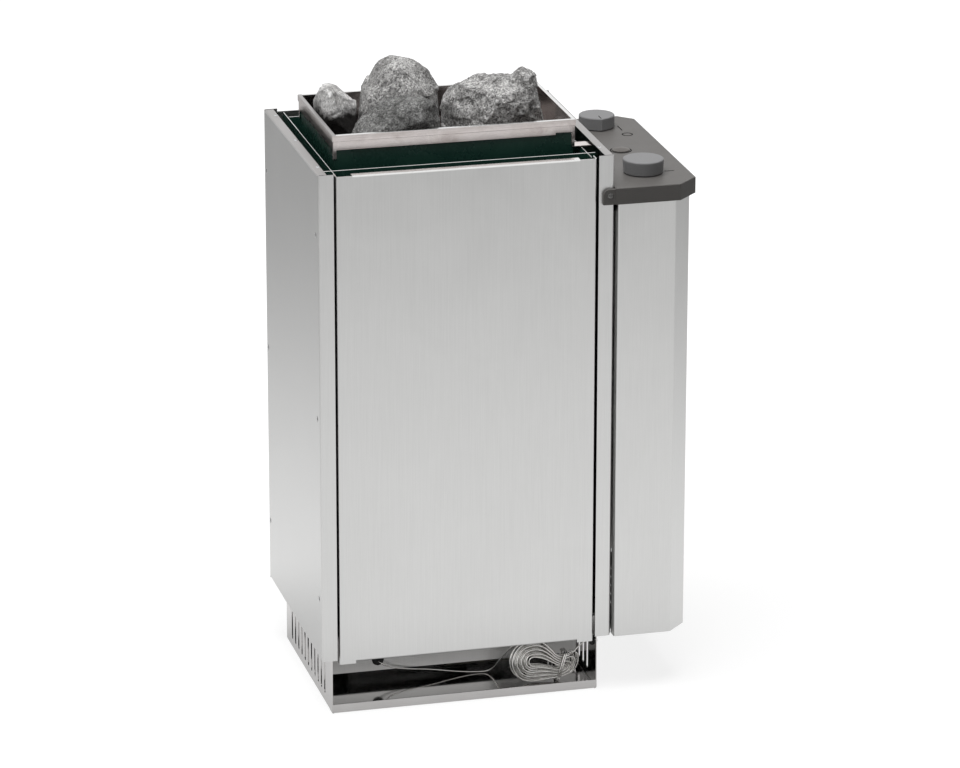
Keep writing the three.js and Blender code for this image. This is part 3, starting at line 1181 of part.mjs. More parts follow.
place('left_side_panel', leftPanel, BRUSHED_STEEL);
place('right_side_panel', mirroredAcross(leftPanel, CASING_WIDTH / 2), BRUSHED_STEEL);
place('front_panel', frontPanel(), BRUSHED_STEEL);
place('rear_panel', rearPanel(), BRUSHED_STEEL);
place('deck_plate', deckPlate(), BRUSHED_STEEL);
place('base_tray', baseTray(), MIRROR_STEEL);
place('terminal_guard', terminalGuard(), BRUSHED_STEEL);
place('terminal_block', terminalBlock(), CERAMIC);
place('mains_gland', mainsGland(), BLACK_PLASTIC);
place('left_inner_shield', leftShield, DARK_STEEL);
place('right_inner_shield', mirroredAcross(leftShield, CASING_WIDTH / 2), DARK_STEEL);
place('front_inner_shield', frontInnerShield(), DARK_STEEL);
place('rear_inner_shield', rearInnerShield(), DARK_STEEL);
place('stone_chamber', chamber, DARK_STEEL);
place('stone_frame', frame, RIM_STEEL);
place('stone_grate', grate, DARK_STEEL);
for (let row = 0; row < ELEMENT_COUNT; row += 1) {
  place(`heating_element_${row + 1}`, heatingElement(row), ELEMENT_STEEL);
}
for (const [name, body] of laidStones([chamber, frame, grate])) place(name, body, STONE);
place('control_mount_plate', controlMountPlate(), BRUSHED_STEEL);
place('control_cover', controlCover(), BRUSHED_STEEL);
place('control_cap', controlCap(), CAP_PLASTIC);
place('thermostat_knob', thermostatKnob(), KNOB_PLASTIC);
place('thermostat_shaft', controlShaft(THERMOSTAT_Y), CAPILLARY_STEEL);
place('thermostat_switch', thermostatSwitch, BLACK_PLASTIC);
place('timer_knob', timerKnob(), KNOB_PLASTIC);
place('timer_shaft', controlShaft(TIMER_Y), CAPILLARY_STEEL);
place('timer_switch', timerSwitch, BLACK_PLASTIC);
place('indicator_lens', indicatorLens(), LENS);
place('safety_cutout', safetyCutout(), BLACK_PLASTIC);
place('capillary_bush', capillaryBush(), RUBBER);
place('capillary_lead_in', leadIn(), CAPILLARY_STEEL);
place('capillary_hank', capillaryHank(), CAPILLARY_STEEL);
place('hank_tie', hankTie(), CAPILLARY_STEEL);
place('capillary_lead_out', leadOut(), CAPILLARY_STEEL);
place('capillary_grommet', capillaryGrommet(), RUBBER);

console.log(`capillary hank: least gap to itself ${leastHankGap(4).toFixed(2)} mm`);

const box = new THREE.Box3().setFromObject(stove);
const middle = box.getCenter(vec3(0, 0, 0));
stove.position.set(-middle.x, -middle.y, -box.min.z);

export default stove;
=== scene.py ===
"""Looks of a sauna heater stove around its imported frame: casing, base tray, stones, control box and capillary."""
import json
import math

import bmesh
import bpy
from mathutils import Matrix, Vector

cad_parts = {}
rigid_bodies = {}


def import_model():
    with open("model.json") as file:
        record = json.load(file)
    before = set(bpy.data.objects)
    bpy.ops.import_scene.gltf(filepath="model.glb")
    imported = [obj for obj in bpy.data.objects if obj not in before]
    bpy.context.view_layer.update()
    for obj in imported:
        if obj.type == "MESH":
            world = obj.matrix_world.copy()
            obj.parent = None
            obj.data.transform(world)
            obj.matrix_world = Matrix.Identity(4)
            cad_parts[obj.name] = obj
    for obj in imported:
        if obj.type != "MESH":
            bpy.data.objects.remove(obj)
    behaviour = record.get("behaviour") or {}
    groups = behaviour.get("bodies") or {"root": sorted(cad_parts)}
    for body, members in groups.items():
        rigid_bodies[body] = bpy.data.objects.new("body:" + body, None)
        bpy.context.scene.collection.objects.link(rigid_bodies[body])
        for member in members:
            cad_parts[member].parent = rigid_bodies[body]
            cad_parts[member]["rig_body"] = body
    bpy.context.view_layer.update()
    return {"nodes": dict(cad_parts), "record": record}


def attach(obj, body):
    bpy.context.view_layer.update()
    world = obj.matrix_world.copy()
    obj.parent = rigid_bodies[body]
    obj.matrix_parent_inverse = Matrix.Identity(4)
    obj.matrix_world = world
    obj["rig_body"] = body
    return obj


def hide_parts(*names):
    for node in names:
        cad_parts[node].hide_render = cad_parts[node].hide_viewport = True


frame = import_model()
NODES = frame["nodes"]
SLOT_OF = {part["node"]: part["material_slot"] for part in frame["record"]["subparts"]}

# The casing's lower front left corner. Sizes below are in millimetres from it: X right, Y back, Z up.
CORNER = Vector((-0.197, -0.1245, 0.061))


def spot(x, y, z):
    """A point in millimetres from the casing's corner, in the frame's metres."""
    return CORNER + Vector((x, y, z)) / 1000


def linked(piece):
    bpy.context.scene.collection.objects.link(piece)
    return piece


# Camera

def put_camera():
    """The photograph's view: a long lens, a little to the left and above."""
    azimuth, elevation, roll = (math.radians(a) for a in (-14.48, 18.74, 0.07))
    flat = math.cos(elevation)
    back = Vector((math.sin(azimuth) * flat, -math.cos(azimuth) * flat, math.sin(elevation)))
    level = Vector((math.cos(azimuth), math.sin(azimuth), 0))
    upright = back.cross(level)
    right = level * math.cos(roll) + upright * math.sin(roll)
    up = upright * math.cos(roll) - level * math.sin(roll)
    lens = bpy.data.cameras.new("photo_view")
    lens.lens = 187.5
    lens.sensor_width = 36
    lens.clip_end = 200
    camera = linked(bpy.data.objects.new("photo_view", lens))
    turned = Matrix((right, up, back)).transposed().to_4x4()
    camera.matrix_world = Matrix.Translation(spot(-1026.6, -4615.3, 1902.4)) @ turned
    bpy.context.scene.camera = camera


put_camera()

# Capillary and its tie

TUBE = 1.4
HANK_X, HANK_Y, HANK_FOOT = 244.0, 34.0, -59.0
HANK_PITCH, HANK_LAYERS, HANK_TURNS = 4.8, 6, 4
HANK_INNER, HANK_RUN, LAYER_PITCH = 4.3, 25.0, 2.1
HANK_OUTER = HANK_INNER + HANK_TURNS * HANK_PITCH
SWAY, SWAY_RATE = 1.8, 2.2
WAIST_X, WAIST_WIDTH, WAIST_DEPTH, WAIST_LIFT = 18.0, 15.0, 0.52, 2.9
RUN_STEPS, FOLD_STEPS = 4, 8
LOOP_STEPS = 2 * (RUN_STEPS + FOLD_STEPS)
HANK_LAST = (HANK_LAYERS * HANK_TURNS - 1) * LOOP_STEPS + RUN_STEPS
TIE_TURNS, TIE_STEPS, TIE_PITCH, TIE_SLANT, TIE_CORNER = 2, 24, 2.0, 0.3, 3.2
SEAT_GAP = 0.3


def gathered(x):
    return math.exp(-(((x - WAIST_X) / WAIST_WIDTH) ** 2))


def smooth_step(value, low, high):
    t = min(max((value - low) / (high - low), 0.0), 1.0)
    return t * t * (3 - 2 * t)


def hank_point(step):
    """A point on the hank, whose loops spiral in and out, layer behind layer, and draw together at a waist."""
    turns = (step - RUN_STEPS / 2) / LOOP_STEPS
    layer = min(max(math.floor(turns / HANK_TURNS), 0), HANK_LAYERS - 1)
    along = turns - layer * HANK_TURNS
    radius = HANK_INNER + HANK_PITCH * (HANK_TURNS - along if layer % 2 == 0 else along)
    borders = [border * HANK_TURNS for border in range(1, HANK_LAYERS)]
    climb = sum(smooth_step(turns, border - 0.25, border + 0.25) for border in borders)
    phase = step % LOOP_STEPS
    upper = phase < RUN_STEPS + FOLD_STEPS
    local = phase if upper else phase - RUN_STEPS - FOLD_STEPS
    sign = 1 if upper else -1
    turn = math.pi * max(local - RUN_STEPS, 0) / FOLD_STEPS
    run = HANK_RUN / 2 - HANK_RUN * min(local, RUN_STEPS) / RUN_STEPS
    x = sign * (run - radius * math.sin(turn)) + SWAY * math.sin(SWAY_RATE * climb)
    height = HANK_OUTER + sign * radius * math.cos(turn)
    z = HANK_FOOT + height * (1 - WAIST_DEPTH * gathered(x)) + WAIST_LIFT * gathered(x)
    return Vector((HANK_X + x, HANK_Y + climb * LAYER_PITCH, z))


def through(points, spacing):
    """A smooth line through points, with even speed on long and short stretches alike."""
    ends = [2 * points[0] - points[1], *points, 2 * points[-1] - points[-2]]
    line = []
    for a, b, c, d in zip(ends, ends[1:], ends[2:], ends[3:]):
        t1 = math.sqrt((b - a).length)
        t2 = t1 + math.sqrt((c - b).length)
        t3 = t2 + math.sqrt((d - c).length)
        pieces = max(2, math.ceil((c - b).length / spacing))
        for i in range(pieces):
            t = t1 + (t2 - t1) * i / pieces
            ab = a.lerp(b, t / t1)
            bc = b.lerp(c, (t - t1) / (t2 - t1))
            cd = c.lerp(d, (t - t2) / (t3 - t2))
            line.append(ab.lerp(bc, t / t2).lerp(bc.lerp(cd, (t - t1) / (t3 - t1)), (t - t1) / (t2 - t1)))
    return [*line, points[-1]]


def capillary_line():
    """The whole tube: out of its bush, through the hank, along the tray's floor and into the guard's grommet."""
    steps = [hank_point(step) for step in range(-1, HANK_LAST + 1)]
    first = steps[0] + (steps[0] - hank_point(-0.8)).normalized() * TUBE
    last = steps[-1] + (steps[-1] - hank_point(HANK_LAST - 0.2)).normalized() * TUBE
    away = (first - steps[0]).normalized()
    way_in = [(288.9, 24, -13), (286.1, 24, -13), (279, 28, -20), (273, 31.5, -28.5)]
    way_out = [
        (218, 49, -19.5), (212, 54, -26), (206, 62, -38), (202, 68, -47), (198, 72.5, -54), (192.5, 76, -58),
        (184, 77.6, -58.7), (164, 78.2, -56.8), (132, 78.4, -51.2), (106, 78, -47.8), (91, 76.8, -44.4),
        (84.5, 74.6, -41), (79.6, 73.2, -37.8), (77, 75.6, -36), (77, 78.4, -36),
    ]
    return through([
        *(Vector(p) for p in way_in), first + away * 3.1, first, *steps, last, last - Vector((3.1, 0, 0)),
        *(Vector(p) for p in way_out),
    ], 1.6)


def tie_line():
    """Two slanting turns of wire round the hank's waist."""
    clear = TIE_CORNER - (TIE_CORNER - TUBE - 2 * SEAT_GAP) * math.sqrt(0.5)
    reach = TIE_SLANT * HANK_OUTER / 2 + TIE_PITCH
    loose = gathered(WAIST_X + reach)
    level = HANK_TURNS + RUN_STEPS / LOOP_STEPS
    height = (HANK_OUTER + HANK_INNER + HANK_PITCH * level) * (1 - WAIST_DEPTH * loose)
    y0, y1 = HANK_Y - clear, HANK_Y + (HANK_LAYERS - 1) * LAYER_PITCH + clear
    z0, z1 = HANK_FOOT + WAIST_LIFT * loose - clear, HANK_FOOT + height + WAIST_LIFT + clear
    corners = [(y1, z1, 0.0), (y0, z1, 0.5), (y0, z0, 1.0), (y1, z0, 1.5)]
    outline = []
    for y, z, start in corners:
        cy = y - TIE_CORNER if y == y1 else y + TIE_CORNER
        cz = z - TIE_CORNER if z == z1 else z + TIE_CORNER
        for i in range(7):
            a = math.pi * (start + i / 12)
            outline.append((cy + TIE_CORNER * math.cos(a), cz + TIE_CORNER * math.sin(a)))
    closed = [*outline, outline[0]]
    sides = [math.dist(p, q) for p, q in zip(closed, closed[1:])]
    spaced, gap = [], sum(sides) / TIE_STEPS
    for k in range(TIE_STEPS):
        left = k * gap
        for p, q, side in zip(closed, closed[1:], sides):
            if left <= side:
                spaced.append((p[0] + (q[0] - p[0]) * left / side, p[1] + (q[1] - p[1]) * left / side))
                break
            left -= side
    points = []
    for i in range(TIE_TURNS * TIE_STEPS):
        y, z = spaced[i % TIE_STEPS]
        x = WAIST_X + TIE_PITCH * (i / TIE_STEPS - TIE_TURNS / 2) + TIE_SLANT * (z - (z0 + z1) / 2)
        points.append(Vector((HANK_X + x, y, z)))
    return through(points, 1.0)


def round_wire(name, line, diameter):
    curve = bpy.data.curves.new(name, "CURVE")
    curve.dimensions = "3D"
    curve.bevel_depth = 1.0
    curve.bevel_resolution = 2
    curve.use_fill_caps = True
    spline = curve.splines.new("POLY")
    spline.points.add(len(line) - 1)
    for point, at in zip(spline.points, line):
        point.co = (*spot(*at), 1)
        point.radius = diameter / 2000
    return linked(bpy.data.objects.new(name, curve))


tube_line = capillary_line()
capillary = round_wire("capillary_tube", tube_line, TUBE)
tie = round_wire("capillary_tie", tie_line(), TUBE)
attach(capillary, "stove")
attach(tie, "stove")
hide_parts("capillary_lead_in", "capillary_hank", "capillary_lead_out")
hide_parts("hank_tie")

# Finishes

def paint(code):
    """An sRGB hex colour as linear values."""
    parts = [int(code[i:i + 2], 16) / 255 for i in (0, 2, 4)]
    return (*(c / 12.92 if c <= 0.04045 else ((c + 0.055) / 1.055) ** 2.4 for c in parts), 1.0)


def per(size):
    """Pattern scale per metre for a feature of this size in millimetres."""
    return 1000 / size


def add(tree, kind, joins=None, stops=(), **settings):
    """Adds one node. Settings are its properties, and joins its inputs, each a value or an output to link.
    Stops are a ramp's positions and hex colours."""
    made = tree.nodes.new(kind)
    for name, value in settings.items():
        setattr(made, name, value)
    for name, value in (joins or {}).items():
        if isinstance(value, bpy.types.NodeSocket):
            tree.links.new(value, made.inputs[name])
        else:
            made.inputs[name].default_value = value
    for i, (position, code) in enumerate(stops):
        steps = made.color_ramp.elements
        step = steps[i] if i < len(steps) else steps.new(position)
        step.position = position
        step.color = paint(code)
    return made


def finish(name, **sockets):
    """A material with its shader's even values set. Gives the tree, the shader and the piece's own coordinates."""
    made = bpy.data.materials.new(name)
    made.use_nodes = True
    tree = made.node_tree
    tree.nodes.clear()
    shader = add(tree, "ShaderNodeBsdfPrincipled", {key.replace("_", " "): v for key, v in sockets.items()})
    add(tree, "ShaderNodeOutputMaterial", {"Surface": shader.outputs["BSDF"]})
    where = add(tree, "ShaderNodeTexCoord").outputs["Object"]
    return made, tree, shader, where


def brushed_sheet(name, grain, tones, rough, blur, wave):
    """Stainless sheet with fine lines along one direction that soften each reflection, faint wide smudges from
    handling, and a slight waviness. The lines are drawn 0.8 mm wide, coarser than real, so that they show."""
    made, tree, shader, where = finish(name, Metallic=1.0)
    along = add(tree, "ShaderNodeMapping", {"Vector": where, "Scale": grain}).outputs[0]
    lines = add(tree, "ShaderNodeTexNoise", {"Vector": along, "Scale": 1.0, "Detail": 3.0, "Roughness": 0.65})
    smudges = add(tree, "ShaderNodeTexNoise", {
        "Vector": where, "Scale": per(70), "Detail": 4.0, "Roughness": 0.55, "Distortion": 0.6})
    both = add(tree, "ShaderNodeMix", {"Factor": 0.45, "A": lines.outputs[0], "B": smudges.outputs[0]})
    colour = add(tree, "ShaderNodeValToRGB", {"Fac": both.outputs[0]},
                 stops=[(0.34, tones[0]), (0.5, tones[1]), (0.66, tones[2])])
    worn = add(tree, "ShaderNodeMapRange", {
        "Value": both.outputs[0], "From Min": 0.3, "From Max": 0.7, "To Min": rough - blur, "To Max": rough + blur})
    dents = add(tree, "ShaderNodeTexNoise", {"Vector": where, "Scale": per(90), "Detail": 1.0})
    waves = add(tree, "ShaderNodeBump", {"Height": dents.outputs[0], "Strength": 1.0, "Distance": wave / 1000})
    ridges = add(tree, "ShaderNodeBump", {
        "Height": lines.outputs[0], "Strength": 0.12, "Distance": 0.0002, "Normal": waves.outputs[0]})
    tree.links.new(colour.outputs[0], shader.inputs["Base Color"])
    tree.links.new(worn.outputs[0], shader.inputs["Roughness"])
    tree.links.new(ridges.outputs[0], shader.inputs["Normal"])
    return made


def grained(name, tones, rough, grit, depth, cloud, **sockets):
    """A finish with an even fine grit, its size and depth in mm, and clouds of a slightly different tone."""
    made, tree, shader, where = finish(name, **sockets)
    fine = add(tree, "ShaderNodeTexNoise", {"Vector": where, "Scale": per(grit), "Detail": 2.0, "Roughness": 0.6})
    clouds = add(tree, "ShaderNodeTexNoise", {"Vector": where, "Scale": per(cloud), "Detail": 4.0, "Roughness": 0.6})
    both = add(tree, "ShaderNodeMix", {"Factor": 0.5, "A": fine.outputs[0], "B": clouds.outputs[0]})
    colour = add(tree, "ShaderNodeValToRGB", {"Fac": both.outputs[0]}, stops=[(0.36, tones[0]), (0.64, tones[1])])
    worn = add(tree, "ShaderNodeMapRange", {
        "Value": clouds.outputs[0], "From Min": 0.3, "From Max": 0.7, "To Min": rough - 0.05, "To Max": rough + 0.05})
    bumps = add(tree, "ShaderNodeBump", {"Height": fine.outputs[0], "Strength": 0.4, "Distance": depth / 1000})
    tree.links.new(colour.outputs[0], shader.inputs["Base Color"])
    tree.links.new(worn.outputs[0], shader.inputs["Roughness"])
    tree.links.new(bumps.outputs[0], shader.inputs["Normal"])
    return made


def heat_tinted_sheet():
    """Stainless sheet that has been red hot nearby: straw, rose and brown oxide in soft patches over lines
    brushed along the strips. The lines are drawn 0.8 mm wide, coarser than real, so that they show."""
    made, tree, shader, where = finish("heat_tinted_stainless", Metallic=1.0)
    along = add(tree, "ShaderNodeMapping", {"Vector": where, "Scale": LEVEL}).outputs[0]
    lines = add(tree, "ShaderNodeTexNoise", {"Vector": along, "Scale": 1.0, "Detail": 3.0, "Roughness": 0.65})
    oxide = add(tree, "ShaderNodeTexNoise", {
        "Vector": where, "Scale": per(45), "Detail": 4.0, "Roughness": 0.6, "Distortion": 1.0})
    tint = add(tree, "ShaderNodeValToRGB", {"Fac": oxide.outputs[0]}, stops=[
        (0.26, "c2b8b5"), (0.42, "dbd3d0"), (0.55, "e4dddb"), (0.68, "d8d0ce"), (0.8, "c1b9b8")])
    streak = add(tree, "ShaderNodeValToRGB", {"Fac": lines.outputs[0]}, stops=[(0.3, "ebe9e8"), (0.6, "ffffff")])
    colour = add(tree, "ShaderNodeMix", {"Factor": 0.8, 6: tint.outputs[0], 7: streak.outputs[0]},
                 data_type="RGBA", blend_type="MULTIPLY")
    worn = add(tree, "ShaderNodeMapRange", {
        "Value": lines.outputs[0], "From Min": 0.3, "From Max": 0.7, "To Min": 0.12, "To Max": 0.22})
    ridges = add(tree, "ShaderNodeBump", {"Height": lines.outputs[0], "Strength": 0.15, "Distance": 0.0002})
    tree.links.new(colour.outputs[2], shader.inputs["Base Color"])
    tree.links.new(worn.outputs[0], shader.inputs["Roughness"])
    tree.links.new(ridges.outputs[0], shader.inputs["Normal"])
    return made


def broken_granite(name, tones, painted_shade_height=0.0):
    """Granite, split: pale feldspar, grey quartz and black mica in grains of 1 to 3 mm, dull and rough, with
    darker stained patches on the broken faces. A height given in mm blackens a stone's foot up to it, as painted
    shade under the stone."""
    made, tree, shader, where = finish(name, Roughness=0.92, Specular_IOR_Level=0.3)
    grains = add(tree, "ShaderNodeTexVoronoi", {"Vector": where, "Scale": per(1.5), "Randomness": 1.0})
    shade = add(tree, "ShaderNodeSeparateColor", {"Color": grains.outputs["Color"]})
    fine = add(tree, "ShaderNodeTexNoise", {"Vector": where, "Scale": per(2.6), "Detail": 5.0, "Roughness": 0.75})
    patches = add(tree, "ShaderNodeTexNoise", {
        "Vector": where, "Scale": per(24), "Detail": 5.0, "Roughness": 0.65, "Distortion": 0.8})
    mottle = add(tree, "ShaderNodeMix", {"Factor": 0.55, "A": shade.outputs[0], "B": fine.outputs[0]})
    speckle = add(tree, "ShaderNodeValToRGB", {"Fac": mottle.outputs[0]}, stops=[
        (0.2, tones[0]), (0.38, tones[1]), (0.58, tones[2]), (0.76, tones[3])])
    stain = add(tree, "ShaderNodeValToRGB", {"Fac": patches.outputs[0]}, stops=[(0.36, "8f8e8d"), (0.56, "ffffff")])
    colour = add(tree, "ShaderNodeMix", {"Factor": 0.75, 6: speckle.outputs[0], 7: stain.outputs[0]},
                 data_type="RGBA", blend_type="MULTIPLY")
    # Painted shade: below the given height the stone's foot turns near black, standing for the shade under it
    if painted_shade_height:
        height = add(tree, "ShaderNodeSeparateXYZ", {0: where}).outputs[2]
        ragged = add(tree, "ShaderNodeMath", {0: patches.outputs[0], 1: 0.024, 2: height}, operation="MULTIPLY_ADD")
        edge = spot(0, 0, painted_shade_height).z + 0.012
        foot = add(tree, "ShaderNodeMapRange", {
            "Value": ragged.outputs[0], "From Min": edge - 0.007, "From Max": edge + 0.004})
        black = add(tree, "ShaderNodeValToRGB", {"Fac": foot.outputs[0]}, stops=[(0.0, "2b2a29"), (1.0, "ffffff")])
        colour = add(tree, "ShaderNodeMix", {"Factor": 1.0, 6: colour.outputs[2], 7: black.outputs[0]},
                     data_type="RGBA", blend_type="MULTIPLY")
    pits = add(tree, "ShaderNodeBump", {"Height": fine.outputs[0], "Strength": 0.6, "Distance": 0.001})
    tree.links.new(colour.outputs[2], shader.inputs["Base Color"])
    tree.links.new(pits.outputs[0], shader.inputs["Normal"])
    return made


UPRIGHT = (per(0.8), per(0.8), per(60))
LEVEL = (per(60), per(60), per(0.8))

# Casing sheet, brushed upright: pale, soft reflections
BRUSHED = brushed_sheet("brushed_stainless", UPRIGHT, ("c2c2c1", "c6c6c5", "cacac9"), 0.34, 0.05, 0.1)
# Tray, bright-rolled and left as it came from the mill: clear reflections, faint lines along it
BRIGHT = brushed_sheet("bright_rolled_stainless", LEVEL, ("c8c6c5", "cecccb", "d3d2d1"), 0.09, 0.04, 0.06)
# Rim and the chamber's bare inside
TINTED = heat_tinted_sheet()
FINISH = {
    "casing_steel": BRUSHED,
    "tray_steel": BRIGHT,
    "rim_steel": TINTED,
    # Chamber and shields, stove-enamelled: green-black and glossy, with a slight orange peel
    "dark_steel": grained("stove_enamel", ("1a362f", "224138"), 0.28, 2.5, 0.02, 40, IOR=1.5),
    # Heating tubes, oxidised dull brown-grey
    "element_steel": grained("oxidised_heater_tube", ("46413c", "665f57"), 0.55, 1.2, 0.05, 14, Metallic=0.9),
    "stone": broken_granite("broken_granite", ("504f4e", "929190", "bcbbba", "e8e7e5")),
    # Control cap, moulded ABS with a spark-eroded grain: dark warm grey that pales in a low view
    "cap_plastic": grained("moulded_abs_dark", ("5a5856", "62605e"), 0.5, 0.9, 0.04, 36, IOR=1.53,
                           Specular_IOR_Level=0.25),
    # Knobs, moulded ABS, finer grain and paler
    "knob_plastic": grained("moulded_abs_grey", ("7a7a7b", "828283"), 0.48, 0.8, 0.03, 30, IOR=1.53,
                            Specular_IOR_Level=0.25),
    # Switch bodies and gland, black nylon with a slight sheen
    "black_plastic": grained("black_nylon", ("191919", "222223"), 0.42, 1.0, 0.03, 20, IOR=1.53),
    # Pilot lamp, moulded smoked acrylic: brown-grey with a soft shine
    "lens": grained("smoked_acrylic", ("595653", "66625f"), 0.45, 1.6, 0.01, 9, IOR=1.49, Specular_IOR_Level=0.3),
    # Terminal block, unglazed steatite: off-white and chalky
    "ceramic": grained("steatite", ("dcd7ca", "ebe7dc"), 0.6, 1.4, 0.04, 20, IOR=1.55),
    # Bushes, moulded rubber: dull black
    "rubber": grained("black_rubber", ("1c1c1d", "262627"), 0.7, 1.0, 0.04, 16, IOR=1.52),
    # Capillary, drawn copper with a nickel skin: bright silver, only slightly warm
    "capillary": grained("nickelled_copper_tube", ("dad8d4", "eeedea"), 0.2, 3.0, 0.01, 24, Metallic=1.0),
    # Shafts, turned steel: grey, with a dull shine
    "shaft_steel": grained("turned_steel", ("9c9c9b", "b4b4b3"), 0.3, 0.8, 0.02, 8, Metallic=1.0),
}
# Upper flanges and the rim's left strip: greyer than the rest of the casing, as painted shade on their tops
PAINTED_SHADE_SHEET = brushed_sheet("painted_shade_stainless", UPRIGHT, ("a09e9c", "a9a7a6", "b1afae"), 0.34, 0.05, 0.1)
# Top edges of the shields, the rim and the front panel's hem: pale and clear, as a painted highlight
PAINTED_HIGHLIGHT = grained("painted_highlight_stainless", ("e2e2e1", "ececeb"), 0.2, 1.2, 0.01, 12, Metallic=1.0)
# Rivets, zinc plated: bright and cool
ZINC = grained("zinc_plated_steel", ("c2c4c6", "d8dadc"), 0.2, 1.0, 0.01, 6, Metallic=1.0)
# Casing screws, zinc plated: darker grey than the rivets, as painted shade of the dark ring round each head, each
# with a clear glint
ZINC_AND_SHADE = grained("zinc_steel_painted_shade", ("6e7072", "8a8c8e"), 0.14, 1.0, 0.01, 6, Metallic=1.0)
# The cap's screw, black zinc plated: dark, partly as painted shade of its recess, with small glints
BLACK_ZINC_AND_SHADE = grained("black_zinc_steel_painted_shade", ("4a4a49", "686867"), 0.2, 1.0, 0.01, 6, Metallic=1.0)
# Three of the stones get tones of their own: a darker one at the front as painted shade, and a lighter one at
# the rear and a pale one at the left as painted light, the pale one also with painted shade on its foot
GRANITE = {
    "stone_front": broken_granite("broken_granite_dark", ("4c4c4b", "6a6a69", "848483", "a8a8a6")),
    "stone_rear": broken_granite("broken_granite_light", ("555453", "9b9a99", "c5c4c3", "efeeec")),
    "stone_left": broken_granite("broken_granite_pale", ("a09f9e", "cdcccb", "e8e7e6", "faf9f7"), 540),
}
# Printed marks on the cap: flat black ink
INK = grained("black_printing_ink", ("141312", "1c1b1a"), 0.8, 1.0, 0.01, 8, IOR=1.5, Specular_IOR_Level=0.15)

for wire in (capillary, tie):
    wire.data.materials.append(FINISH["capillary"])
for name, part in NODES.items():
    part.data.materials.clear()
    part.data.materials.append(FINISH[SLOT_OF[name]])

# Pieces that stand for CAD nodes

def smooth(piece, angle):
    """Shades faces that meet at less than the angle as one."""
    piece.data.shade_smooth()
    piece.data.set_sharp_from_angle(angle=math.radians(angle))


def settled(piece):
    """Turns a piece's modifiers into plain mesh."""
    bpy.context.view_layer.update()
    graph = bpy.context.evaluated_depsgraph_get()
    mesh = bpy.data.meshes.new_from_object(piece.evaluated_get(graph), preserve_all_data_layers=True, depsgraph=graph)
    piece.modifiers.clear()
    piece.data = mesh


RIM_LEFT = spot(30.6, 0, 0)
STONE_AXIS = spot(49, 160, 0)
LEFT, RIGHT, FRONT, REAR, UP = (-1, 0, 0), (1, 0, 0), (0, -1, 0), (0, 1, 0), (0, 0, 1)

# Heads at the left and the back lie flush in round recesses, so that nothing leaves the CAD box
RECESS_DEPTH, HEAD_HEIGHT = 0.85, 0.8
LEFT_SCREWS = [((0, y, z), LEFT) for y, heights in ((12, (451, 258, 65)), (245, (451, 259, 66))) for z in heights]
REAR_RIVETS = [((x, 254, z), REAR) for x in (11, 293) for z in (66, 259, 451)]
RECESSES = {"left_side_panel": (LEFT_SCREWS, 3.1), "rear_panel": (REAR_RIVETS, 2.4)}


def recess_cutter(seats, radius):
    """Round cutters that sink a recess of this radius in mm into a sheet at each seat."""
    form = bmesh.new()
    for at, way in seats:
        facing = Vector(UP).rotation_difference(Vector(way)).to_matrix().to_4x4()
        bmesh.ops.create_cone(form, cap_ends=True, segments=32, radius1=radius / 1000, radius2=radius / 1000,
                              depth=2 * RECESS_DEPTH / 1000, matrix=Matrix.Translation(spot(*at)) @ facing)
    mesh = bpy.data.meshes.new("recess_cutter")
    form.to_mesh(mesh)
    form.free()
    return linked(bpy.data.objects.new("recess_cutter", mesh))


def broader(at):
    """The left stone's top is blunter than its solid, by up to 6 mm on its right."""
    risen = smooth_step(at.z, spot(0, 0, 515).z, spot(0, 0, 556).z)
    out = at - STONE_AXIS
    return Vector((STONE_AXIS.x + out.x * (1 + (0.5 if out.x > 0 else 0.25) * risen),
                   STONE_AXIS.y + out.y * (1 + 0.15 * risen), at.z))


def merged_copy(name):
    """A copy of a CAD node with its loose corners merged and its flat faces made whole. The rim is cut where the
    painted shade on its left strip ends."""
    mesh = NODES[name].data.copy()
    form = bmesh.new()
    form.from_mesh(mesh)
    bmesh.ops.remove_doubles(form, verts=form.verts, dist=1e-6)
    bmesh.ops.dissolve_limit(form, angle_limit=math.radians(0.4), verts=form.verts, edges=form.edges)
    if name == "stone_frame":
        bmesh.ops.bisect_plane(form, geom=[*form.verts, *form.edges, *form.faces], plane_co=RIM_LEFT, plane_no=LEFT)
    if name == "stone_left":
        for corner in form.verts:
            corner.co = broader(corner.co)
    form.to_mesh(mesh)
    form.free()
    return linked(bpy.data.objects.new(name + "_finished", mesh))


def stands_for(piece, name):
    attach(piece, NODES[name]["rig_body"])
    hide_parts(name)


def rounded(name, width, angle=32):
    """A CAD node with its sharp edges broken by width mm, its bends shaded smooth and its flats left flat."""
    piece = merged_copy(name)
    if name in RECESSES:
        cutter = recess_cutter(*RECESSES[name])
        cut = piece.modifiers.new("recesses", "BOOLEAN")
        cut.object = cutter
        cut.solver = "EXACT"
        settled(piece)
        bpy.data.objects.remove(cutter)
    smooth(piece, 180 if width else angle)
    if width:
        edges = piece.modifiers.new("broken_edges", "BEVEL")
        edges.width = width / 1000
        edges.segments = 2
        edges.limit_method = "ANGLE"
        edges.angle_limit = math.radians(angle)
    even = piece.modifiers.new("even_faces", "WEIGHTED_NORMAL")
    even.keep_sharp = True
    settled(piece)
    stands_for(piece, name)
    return piece


